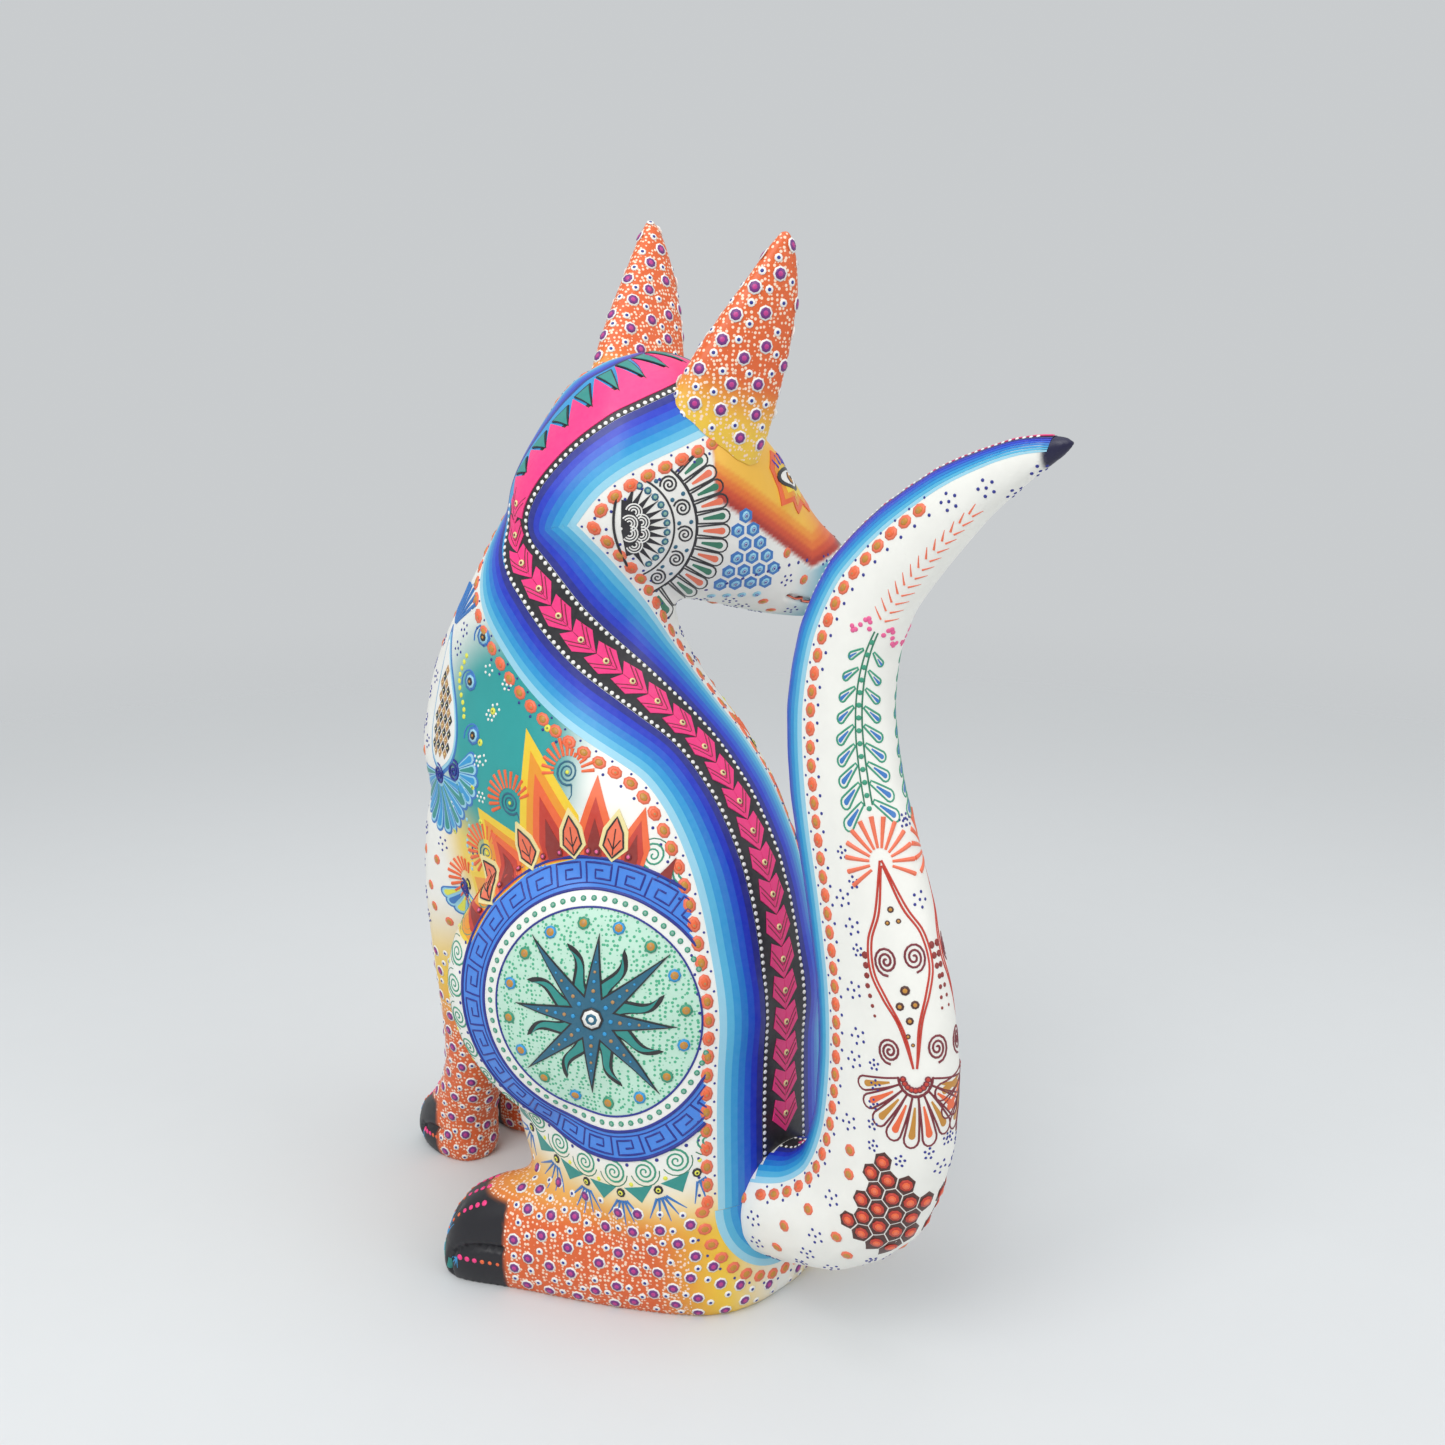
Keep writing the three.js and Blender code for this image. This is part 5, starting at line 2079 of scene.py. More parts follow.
    def fans(self) -> None:
        """Orange stroke fans, each with a dark spiral at its root."""
        brush = self.brush
        for i, (angle, radius, heading) in enumerate(self.FANS):
            place = polar(radius, angle)
            for k in range(-6, 7):
                way = heading + k * 15
                length = 12.5 - abs(k) * 0.35
                brush.line([polar(5.6, way, place), polar(length, way, place)], 1.25, Paint.ORANGE, taper=1.35)
            if i < 3:
                brush.line(spiral(place, 4.6, 2.6, heading + 200), 0.75, Paint.PETROL, taper=1.4)
                brush.line([polar(4.6, heading + 200, place), polar(8, heading + 190, place),
                            polar(12, heading + 172, place)], 0.8, Paint.PETROL, taper=0.5)
                brush.dot(*place, 0.8, Paint.LEMON, layer=1)
            else:
                brush.ringed(*place, (2.6, 1.7, 1.0), (Paint.BLACK, Paint.LEMON, Paint.BLACK), layer=0.5)
        for angle, radius in ((126, 100), (118, 112), (100, 108), (130, 88), (90, 106), (112, 120), (142, 96)):
            brush.dot(*polar(radius, angle), 0.62, Paint.WHITE)
            brush.cluster(polar(radius, angle), 0.62, Paint.WHITE, count=6)
            brush.ringed(*polar(radius - 7, angle + 5), (1.5, 0.7), (Paint.LEMON, Paint.OLIVE))


# ---------------------------------------------------------------- circles scattered over legs and ears

class Scatter(Chart):
    """Random places on a surface that keep their distance from each other; x picks one by its number."""

    def __init__(self, skin: Surface, where: Callable[[np.ndarray], np.ndarray], gap: float, seed: int,
                 taken: Sequence[Vector] = (), taken_gap: float = 0) -> None:
        """Throws darts at the surface until it is full.

        Args:
            skin: The surface.
            where: For many points, which may be used.
            gap: Least distance between two places.
            seed: Fixes the pattern.
            taken: Places that are used already.
            taken_gap: Least distance to those.
        """
        rng = np.random.default_rng(seed)
        normals = skin.normals()
        centres = np.array([skin.points[list(f)].mean(axis=0) for f in skin.faces])
        usable = np.flatnonzero(where(centres))
        rng.shuffle(usable)
        self.places: list[Site] = []
        grid: dict[tuple[int, ...], list[np.ndarray]] = {}
        for i in usable:
            point = centres[i]
            cell = tuple((point // gap).astype(int))
            around = [(cell[0] + dx, cell[1] + dy, cell[2] + dz) for dx in (-1, 0, 1) for dy in (-1, 0, 1)
                      for dz in (-1, 0, 1)]
            close = any(np.linalg.norm(point - other) < gap for key in around for other in grid.get(key, ()))
            if close or any((Vector(point) - other).length < taken_gap for other in taken):
                continue
            grid.setdefault(cell, []).append(point)
            normal = normals[list(skin.faces[i])].mean(axis=0)
            self.places.append((Vector(point), Vector(normal).normalized()))

    def at(self, x: float, y: float) -> Optional[Site]:
        """The place numbered x. A step of less than one turns across it."""
        index = int(x)
        point, normal = self.places[index]
        if x == index and y == 0:
            return point, normal
        return point + normal.orthogonal() * 0.5, normal


def scatter_circles(name: str, body: str, skin: Surface, where: Callable[[np.ndarray], np.ndarray], gap: float,
                    size: float, seed: int) -> None:
    """Purple circles ringed in white, with ringed navy dots between them."""
    large = Scatter(skin, where, gap, seed)
    brush = Brush(f"{name}_circles", body, large)
    for i in range(len(large.places)):
        brush.ringed(i, 0, (size, size * 0.76, size * 0.42), (Paint.WHITE, Paint.PURPLE, Paint.MAGENTA))
    brush.finish()
    small = Scatter(skin, where, gap * 0.72, seed + 1, [p for p, _ in large.places], gap * 0.58)
    brush = Brush(f"{name}_dots", body, small)
    for i in range(len(small.places)):
        brush.ringed(i, 0, (size * 0.56, size * 0.32), (Paint.WHITE, Paint.NAVY))
    brush.finish()


# ---------------------------------------------------------------- the head

class Cheek:
    """The half-moon eye motif behind the jaw, and the patch of blue scale cells in front of it."""

    HUB = (-18, 1)
    LOW, HIGH = -66, 74

    def __init__(self, tree: BVHTree, side: int, hidden: Callable[[Vector], bool]) -> None:
        """Holds the drawing up to one side of the head: 1 for its right, -1 for its left. x is forward."""
        chart = Projected(tree, head_point(0, 34 * side, 288), SIDE * side * 0.88 - FORWARD * 0.47,
                          flip=side < 0, reach=34)
        chart.hidden = hidden
        self.brush = Brush("right_cheek" if side > 0 else "left_cheek", FIGURE, chart)

    def arc(self, radius: float, width: float, paint: Paint, layer: float = 0) -> None:
        """A liner arc round the hub."""
        self.brush.line([polar(radius, a, self.HUB) for a in range(self.LOW, self.HIGH + 1, 5)], width, paint,
                        layer=layer)

    def build(self) -> None:
        """Paints all of it."""
        brush, hub = self.brush, self.HUB
        span = self.HIGH - self.LOW
        brush.band(lambda t: polar(0.5, self.LOW - 14 + (span + 28) * t, hub),
                   lambda t: polar(10.5, self.LOW - 14 + (span + 28) * t, hub), Paint.BLACK, 20)
        for i, (r, a) in enumerate(((7.6, -52), (7.6, -17), (7.6, 17), (7.6, 52), (3.6, -30), (3.6, 32))):
            for k in (2.9, 1.9, 0.9):
                middle = polar(r, a, hub)
                brush.line([polar(k, a + b, middle) for b in range(-110, 111, 22)], 0.6, Paint.WHITE, layer=1.3)
        for i in range(12):
            a = self.LOW + 6 + i * (span - 8) / 11
            brush.fill([polar(10.2, a - 6, hub), polar(17.0, a, hub), polar(10.2, a + 6, hub)], Paint.BLACK)
            brush.ringed(*polar(16.6, a + 6, hub), (1.5, 0.9), (Paint.PETROL, Paint.SAGE))
        self.arc(19.2, 1.0, Paint.BLACK)
        for i in range(6):
            a = self.LOW + 10 + i * (span - 18) / 5
            brush.line(spiral(polar(23.2, a, hub), 3.3, 2.2, a + 150), 0.75, Paint.BLACK, taper=1.2)
            for k in (-1, 1):
                brush.dot(*polar(23.2 + 2.2 * k, a + 11, hub), 0.9, Paint.PETROL)
        self.arc(27.4, 1.1, Paint.BLACK)
        count = 17
        for i in range(count):
            a = self.LOW + 2 + i * (span - 2) / (count - 1)
            brush.line(petal(polar(27.8, a, hub), a, 12.2, 5.2, root=0.6), 0.85, Paint.BLACK, closed=True)
            brush.fill(petal(polar(29.8, a, hub), a, 8.6, 2.7, root=0.3), Paint.CORAL if i % 2 else Paint.GREEN)
        brush.line(curved([polar(39, self.HIGH + 3, hub), polar(18, self.HIGH + 14, hub), polar(2.5, 180, hub),
                           polar(18, self.LOW - 12, hub), polar(38, self.LOW - 3, hub)]), 1.1, Paint.BLACK,
                   layer=1)
        self.scales()

    def scales(self) -> None:
        """Blue cells, each with a pale ring and a navy dot."""
        brush = self.brush
        for row in range(8):
            for column in range(8):
                x = 1 + column * 6.0 + (row % 2) * 3.0
                y = -34 + row * 5.4
                outer = math.hypot(x - self.HUB[0], (y - self.HUB[1]) * 0.95)
                if outer < 43 or x > 42 - max(0, y + 12) * 0.7 or y > 8:
                    continue
                brush.fill([polar(3.0, 60 * k + 30, (x, y)) for k in range(6)], Paint.DENIM)
                brush.dot(x, y, 1.9, Paint.PALE, layer=0.6)
                brush.dot(x, y, 1.25, Paint.DENIM, layer=1.4)
                brush.ringed(x, y, (0.8, 0.5), (Paint.WHITE, Paint.NAVY), layer=2.2)


class Face:
    """Nested sunset bands round each eye, the eye with a painted highlight, the nose and the mouth."""

    EYE = (54, 9)
    TONES = ((1.0, Paint.BRICK), (0.86, Paint.RED), (0.72, Paint.ORANGE), (0.57, Paint.AMBER),
             (0.42, Paint.YELLOW))

    def __init__(self, tree: BVHTree, side: int, hidden: Callable[[Vector], bool]) -> None:
        """Holds the drawing up to one side of the head: 1 for its right, -1 for its left. x is forward."""
        facing = (SIDE * side + Vector((0, 0, 0.35)) + FORWARD * 0.25).normalized()
        up = Vector((0, 0, 1))
        chart = Projected(tree, head_point(0, 20 * side, 288), facing, up, flip=side < 0, reach=60)
        chart.hidden = hidden
        self.brush = Brush("right_face" if side > 0 else "left_face", FIGURE, chart)
        self.lips = [tree.find_nearest(point) for point in smooth_path(mouth_line(side), 1.6)]

    def build(self) -> None:
        """Paints all of it."""
        brush, (ex, ey) = self.brush, self.EYE
        outline = ((-19, 5), (-13, 15), (-4, 12), (1, 17), (10, 11), (18, 8), (27, 0), (38, -6), (29, -10),
                   (22, -17), (14, -13), (6, -19), (-2, -13), (-12, -15), (-14, -5))
        for k, (share, paint) in enumerate(self.TONES):
            brush.fill([(ex + x * share, ey + y * share) for x, y in outline], paint, layer=0.8 * k,
                       height=0.14, middle=(ex, ey))
        almond = [(ex + 7.5 * math.cos(a), ey + 3.4 * math.sin(a) * (1 + 0.2 * math.cos(a)))
                  for a in np.linspace(0, math.tau, 18, endpoint=False)]
        brush.fill([(ex + (x - ex) * 1.3, ey + (y - ey) * 1.45) for x, y in almond], Paint.BLACK, layer=4.2)
        brush.fill(almond, Paint.WHITE, layer=5.2)
        brush.ringed(ex, ey, (3.1, 2.4, 1.3), (Paint.BROWN, Paint.GOLD, Paint.BLACK), layer=6)
        # A small white dot at the pupil's upper back edge: a painted highlight, the glint of light in the eye.
        brush.dot(ex - 1.0, ey + 1.0, 0.6, Paint.WHITE, layer=9)
        for i in range(7):
            c, d = polar(1, 38 + i * 17)
            brush.line([(ex + 9.6 * c, ey + 6 * d), (ex + 14 * c, ey + 10.5 * d)], 1.3, Paint.ROYAL, taper=0.4,
                       layer=3.4)
        for i in range(5):
            brush.line([(ex + 29 + i * 3.0, ey - 12 - i * 1.4), (ex + 32 + i * 3.0, ey - 7 - i * 2.2)], 0.7,
                       Paint.BRICK, layer=1)
        for i in range(9):
            brush.dot(22 + i * 5.2, -26 + i * 0.5, 0.8, Paint.NAVY)
        for half, rise, paint in ((1.1, 0.1, Paint.BRICK), (0.6, 0.7, Paint.CORAL)):
            brush.stroke([point + normal * rise for point, normal, _, _ in self.lips], half, paint, False, 0.4)


class Brow:
    """A fan of flame petals on the forehead, with a row of white dots down to the muzzle."""

    def __init__(self, tree: BVHTree, hidden: Callable[[Vector], bool]) -> None:
        """Holds the drawing up before the forehead."""
        chart = Projected(tree, head_point(34, 0, 326), FORWARD * 0.75 + Vector((0, 0, 0.66)), reach=40)
        chart.hidden = hidden
        self.brush = Brush("brow", FIGURE, chart)

    def build(self) -> None:
        """Paints all of it."""
        brush, root = self.brush, (0, -6)
        for k in range(-4, 5):
            angle, length = 90 + k * 20, 19 - abs(k) * 1.2
            brush.fill(petal(polar(3, angle, root), angle, length, 5.4, root=0.3), Paint.BRICK)
            brush.fill(petal(polar(4.5, angle, root), angle, length - 3, 3.8, root=0.3),
                       Paint.YELLOW if k % 2 else Paint.CORAL, layer=1)
            brush.ringed(*polar(length + 6, angle, root), (1.2, 0.6), (Paint.WHITE, Paint.PURPLE))
        brush.ringed(*root, (3.6, 2.6, 1.3), (Paint.BRICK, Paint.LEMON, Paint.PETROL), layer=1)
        for k in range(11):
            brush.dot(0, -12.5 - k * 3.3, 1.25 - 0.06 * k, Paint.WHITE)
            for hand in (-1, 1):
                brush.line([(hand * 2.5, -12 - k * 3.3), (hand * (5.5 + 0.3 * k), -10 - k * 3.3)], 0.8,
                           Paint.RED, taper=0.4)


# ---------------------------------------------------------------- the tail

class TailSide:
    """The motifs down one side of the tail: fern, feather, fan, heart scroll, petals and cells."""

    PATH = ((12, 108, 42), (13, 125, 50), (13, 134, 64), (12, 139, 84), (11, 141, 115), (11, 135, 148),
            (10, 125, 182), (9, 116, 209), (9, 112, 234), (8, 114, 254), (7, 122, 270), (6, 135, 286),
            (5, 151, 302), (3, 166, 313))
    NARROW = 0.84

    def __init__(self, tree: BVHTree, side: int) -> None:
        """Lays a strip up the outer side of the tail: 1 for the animal's left."""
        self.side = side
        self.strip = Strip(tree, [(x * side, y, z) for x, y, z in self.PATH], 20, step=1.3)
        self.brush = Brush("tail_left" if side > 0 else "tail_right", "tail", self.strip)

    def at(self, height: float, across: float) -> Point2:
        """A drawing point from a height above the floor and a distance towards the tail's inner side."""
        middle = self.strip.grid[:, self.strip.side_count, 2]
        return float(np.interp(height, middle, self.strip.along)), across * self.side * self.NARROW

    def line(self, points: Iterable[Point2], width: float, paint: Paint, closed: bool = False, taper: float = 1,
             layer: float = 0) -> None:
        """A stroke through (height, across) points."""
        self.brush.line([self.at(*p) for p in points], width, paint, closed, taper, layer)

    def fill(self, points: Iterable[Point2], paint: Paint, layer: float = 0) -> None:
        """A filled shape through (height, across) points."""
        self.brush.fill([self.at(*p) for p in points], paint, layer)

    def dot(self, height: float, across: float, radii: Sequence[float], paints: Sequence[Paint],
            layer: float = 0) -> None:
        """Beads on beads at a height."""
        self.brush.ringed(*self.at(height, across), radii, paints, layer)

    def build(self) -> None:
        """Paints all of it."""
        self.cells()
        self.petals()
        self.scroll()
        self.stroke_fan()
        self.feather()
        self.fern()
        self.clusters()

    def cells(self) -> None:
        """Dark cells with white between them at the bend."""
        for row in range(6):
            for column in range(-2, 3):
                across = column * 7.4 + (row % 2) * 3.7 - 1.5
                height = 52 + row * 6.3
                if abs(across) > 15 or height > 80 + across * 0.4:
                    continue
                shape = [polar(4.1, 60 * k, (height, across)) for k in range(6)]
                self.fill(shape, Paint.BROWN)
                self.dot(height, across, (2.5, 1.6, 0.9), (Paint.RED, Paint.ORANGE, Paint.CORAL), layer=1)

    def petals(self) -> None:
        """A fan of nine outlined petals hanging from a crescent of red dots."""
        for i in range(9):
            angle = 180 + (i - 4) * 19
            root = polar(6.5, angle, (117, 0))
            self.line(petal(root, angle, 19, 6.0, root=0.4), 0.85, Paint.MAROON, closed=True)
            self.fill(petal(polar(4, angle, root), angle, 12, 2.9, root=0.25),
                      Paint.ORANGE if i % 2 else Paint.GOLD)
            self.dot(*polar(5.0, angle, (117.5, 0)), (1.2, 0.8), (Paint.MAROON, Paint.RED), layer=0.5)
        self.line([polar(7.0, 180 + a, (117, 0)) for a in range(-90, 91, 15)], 0.8, Paint.MAROON)

    def scroll(self) -> None:
        """A heart of two upper spirals, two lower ones, and its dots."""
        for hand in (-1, 1):
            for k in (0.0, 1.6):
                self.line(curved([(120, hand * 0.7), (133 + k, hand * (3 + k)), (144, hand * (8 + k)),
                                  (153, hand * (11.4 + k)), (163, hand * (10 + k)), (172, hand * (4.6 + k)),
                                  (186 + k, hand * 0.3)]), 0.95, Paint.RED)
            for height, across, radius in ((156, 5.6, 4.9), (126, 9.6, 4.8)):
                self.line(spiral((height, hand * across), radius, 2.6, 180, hand), 1.0, Paint.MAROON)
            for k in range(7):
                self.dot(138 + k * 3.4, hand * (15.4 - abs(k - 3) * 0.4), (0.6 + 0.13 * k,), (Paint.BRICK,))
        for height, across, size in ((172, 0, 1.0), (168, 2.2, 0.8), (168, -2.2, 0.8), (146, 0, 1.5),
                                     (141, 3, 1.3), (141, -3, 1.3), (136, 0, 1.2), (131, 1.5, 0.8),
                                     (128, 0, 0.6)):
            self.dot(height, across, (size * 1.2, size * 0.7), (Paint.BROWN, Paint.GOLD))

    def stroke_fan(self) -> None:
        """Coral strokes round the heart's point."""
        for i in range(13):
            angle = (i - 6) * 19
            self.line([polar(4.5, angle, (187, 0)), polar(14.5, angle, (187, 0))], 1.1, Paint.CORAL, taper=1.7)

    def feather(self) -> None:
        """A double stem with beads, and outlined leaves up both sides."""
        for hand in (-1, 1):
            self.line([(205, hand * 1.5), (225, hand * 1.4), (246, hand * 1.1), (262, hand * 0.7)], 0.7,
                      Paint.GREEN)
            for i in range(9):
                height = 205 + i * 6.2
                size = 1 - 0.06 * i
                lean = 128 * hand
                root = (height + 1, hand * 2.2)
                leaf = petal(root, lean, 11.5 * size, 4.4 * size, root=0.3)
                self.line(leaf, 0.8, Paint.JADE, closed=True)
                self.fill(petal(polar(2.6, lean, root), lean, 7.4 * size, 2.2 * size, root=0.3), Paint.DENIM)
        for i in range(14):
            self.dot(204 + i * 4.2, 0, (0.95,), (Paint.JADE,))
        for hand in (-1, 1):
            for k in range(8):
                self.dot(262 + 2.6 * math.sin(k * 0.8), hand * (3 + k * 1.0), (0.9,), (Paint.ROSE,))

    def fern(self) -> None:
        """Short coral strokes up the last of the tail."""
        for i in range(13):
            height = 266 + i * 2.9
            for hand in (-1, 1):
                self.line([(height, hand * 0.8), (height + 2.4, hand * (5.4 - 0.28 * i))], 0.9, Paint.CORAL,
                          taper=0.5)

    def clusters(self) -> None:
        """Navy dots in fives, in the gaps."""
        for height, across in ((88, 15), (96, 16.5), (104, 17), (112, 16.5), (120, 17), (182, 13), (192, 15.5),
                               (90, -8), (86, 3), (94, -16), (198, -13), (160, 17.4)):
            self.dot(height, across, (0.55,), (Paint.NAVY,))
            for k in range(5):
                self.dot(*polar(1.9, 72 * k, (height, across)), (0.55,), (Paint.NAVY,))


# ---------------------------------------------------------------- shoulders, chest and paws

class Shoulder:
    """The chequered leaf and the blue and teal petal fans before each shoulder."""

    def __init__(self, tree: BVHTree, side: int, hidden: Callable[[Vector], bool]) -> None:
        """Holds the drawing up to one shoulder. x runs towards the tail."""
        chart = Projected(tree, Vector((40 * side, -58, 205)), Vector((0.95 * side, -0.3, 0.05)), flip=side < 0,
                          reach=50)
        chart.hidden = hidden
        self.brush = Brush("left_shoulder" if side > 0 else "right_shoulder", FIGURE, chart)

    def build(self) -> None:
        """Paints all of it."""
        brush = self.brush
        leaf = [(-2, -14), (6, -8), (8.5, 0), (6, 12), (0, 26), (-5, 38), (-8, 26), (-11, 12), (-12, 0),
                (-9, -9)]
        for grow, paint, layer in ((1.16, Paint.DENIM, 0), (1.07, Paint.PALE, 1), (0.98, Paint.WHITE, 2)):
            shape = curved([(-2 + (x + 2) * grow, 5 + (y - 5) * grow) for x, y in (*leaf, leaf[0])], 2.5)
            brush.fill(shape[:-1], paint, layer=layer)
        for row in range(-5, 9):
            for column in range(-5, 6):
                x, y = -2 + (column + (row % 2) * 0.5) * 4.0, 4 + row * 2.7
                wide = 8.2 if y < 8 else 8.2 - (y - 8) * 0.3
                if abs(x + 2 + max(0, y - 8) * 0.08) > wide - 1.4 or y < -8:
                    continue
                brush.fill([(x - 1.7, y), (x, y - 2.3), (x + 1.7, y), (x, y + 2.3)],
                           Paint.BLACK if (row % 2) else Paint.TAN, layer=3)
                brush.dot(x, y, 0.4, Paint.CREAM, layer=4)
        self.fan((-4, -16), 12, 25, 270, 15)
        self.fan((9, -12), 6, 17, 345, 19)
        self.fan((4, -62), 9, 17, 270, 17, (Paint.LEMON, Paint.DENIM))
        for i in range(10):
            brush.dot(10 + 2.6 * math.cos(i * 0.6), 10 + i * 2.6, 1.1, Paint.LEMON)
            brush.dot(16 + 1.6 * math.sin(i), -30 - i * 2.2, 0.9, Paint.PALE)
        for x, y in ((15, 24), (20, 4), (22, 42)):
            brush.ringed(x, y, (4.0, 2.8, 1.9, 0.8), (Paint.DENIM, Paint.PALE, Paint.BLACK, Paint.GOLD))
            brush.line(spiral((x, y), 6.0, 0.9, 200), 0.9, Paint.DENIM)
        for i in range(9):
            brush.line([(-3 + i * 0.2, 44), (-16 + i * 4.4, 56 + 4 * math.sin(i * 0.4))], 1.2, Paint.DENIM,
                       taper=1.6)
        for x, y in ((25, 30), (30, 16), (18, -18), (27, -4), (14, 52), (24, 56), (20, -42)):
            brush.cluster((x, y), 0.6, Paint.WHITE if y > -20 else Paint.NAVY)

    def fan(self, root: Point2, count: int, length: float, heading: float, spread: float,
            tones: Sequence[Paint] = (Paint.TEAL, Paint.SKY)) -> None:
        """Outlined petals out of one point."""
        brush = self.brush
        for i in range(count):
            angle = heading + (i - (count - 1) / 2) * spread
            way = length * (1 - 0.02 * abs(i - (count - 1) / 2))
            brush.fill(petal(root, angle, way, 5.6, root=0.2), Paint.DENIM)
            brush.fill(petal(polar(3, angle, root), angle, way - 4, 4.2, root=0.2), Paint.PALE, layer=0.9)
            brush.fill(petal(polar(5, angle, root), angle, way - 7.2, 2.7, root=0.2), tones[i % 2], layer=1.8)
        brush.line(spiral(root, 4.4, 2.2, 90), 0.9, Paint.NAVY, layer=3)


class ChestRose:
    """A rosette of petals on the chest with rings of dots."""

    def __init__(self, tree: BVHTree) -> None:
        """Holds the drawing up to the chest."""
        self.brush = Brush("chest", FIGURE, Projected(tree, Vector((0, -70, 188)), Vector((0, -1, 0.05)),
                                                      reach=70))

    def build(self) -> None:
        """Paints all of it."""
        brush = self.brush
        rings = ((16, 15, 14, 6.4, Paint.MAROON, Paint.CORAL), (12, 5, 11, 4.6, Paint.PETROL, Paint.AQUA))
        for count, inner, length, width, outer_paint, inner_paint in rings:
            for i in range(count):
                angle = i * 360 / count
                brush.line(petal(polar(inner, angle), angle, length, width, root=0.5), 0.9, outer_paint,
                           closed=True)
                brush.fill(petal(polar(inner + 2.5, angle), angle, length - 5, width * 0.5), inner_paint)
                brush.ringed(*polar(inner + length + 3, angle), (1.3, 0.8), (outer_paint, Paint.GOLD))
        brush.ringed(0, 0, (4.4, 3.4, 2.2, 1.1), (Paint.BLACK, Paint.LEMON, Paint.PINK, Paint.BLACK))
        for hand in (-1, 1):
            for k in range(6):
                place = (hand * (9 + 3 * k), 38 + 4 * k)
                brush.line(spiral(place, 4.2, 2.2, 270, hand), 0.8, Paint.JADE)
                brush.dot(place[0] + hand * 5, place[1] - 4, 0.9, Paint.NAVY)
        for k in range(9):
            brush.fill(petal((0, -44), 270 + (k - 4) * 17, 19, 5, root=0.3),
                       Paint.ORANGE if k % 2 else Paint.AMBER)
            brush.line(petal((0, -42), 270 + (k - 4) * 17, 23, 6.6, root=0.3), 0.8, Paint.BRICK, closed=True)


class Paw:
    """Rows of dots and blue strokes on the black toes, and teal claws."""

    def __init__(self, tree: BVHTree, name: str, plan: PawPlan, side: int) -> None:
        """Holds one drawing over the toes, another in front of them and a third beside them.

        Args:
            tree: The figure's surface.
            name: Which paw.
            plan: The paw's sizes.
            side: 1 for the animal's left, -1 for its right.
        """
        self.pitch = plan.toe
        line = mirrored(plan.line, side)
        middle = mirrored(plan.tips, side) + Vector((0, 0, plan.brush_z))
        self.top = Brush(f"{name}_toes", FIGURE, Projected(tree, middle + Vector((0, 0, 8)),
                                                          Vector((0, 0, 1)) + line * 0.45, up=line, reach=40))
        self.front = Brush(f"{name}_claws", FIGURE, Projected(tree, middle, line + Vector((0, 0, 0.25)),
                                                              reach=40))
        out = Vector((-line.y * side, line.x * side, 0))
        self.flank = Brush(f"{name}_flank", FIGURE, Projected(tree, middle, out, flip=side < 0, reach=40))

    def build(self) -> None:
        """Paints all of it."""
        for k in range(4):
            x = (k - 1.5) * self.pitch
            for i in range(7):
                paint = Paint.PINK if i < 4 else Paint.ORANGE
                self.top.dot(x, -9 + i * 3.2, 1.25 - 0.09 * i, paint)
            for j in (-1, 0, 1):
                self.front.line([(x + j * 0.6, 2), (x + j * 1.6, 8)], 0.8, Paint.SKY, taper=0.5)
            self.front.fill(petal((x, -1), 270, 7.5, 3.2, root=0.5), Paint.TEAL)
            self.front.line([(x - 0.5, -3), (x - 0.4, -6.5)], 0.5, Paint.AQUA, layer=1.2)
        flank, size = self.flank, self.pitch / PAWS["hind"].toe
        for i in range(6):
            flank.dot(size * (12 - i * 3.2), -0.5, 0.8 + 0.09 * i, Paint.PINK if i > 2 else Paint.ORANGE)
        for j in range(4):
            flank.line([(size * -5.5, -1), (size * (-9.5 + j * 1.3), -4 - j * 0.6)], 0.8, Paint.SKY, taper=0.5)
        flank.fill(petal((size * -10, -4), 262, 5.5 * size, 2.8, root=0.5), Paint.TEAL)
        for brush in (self.top, self.front, flank):
            brush.finish()


# ---------------------------------------------------------------- studio

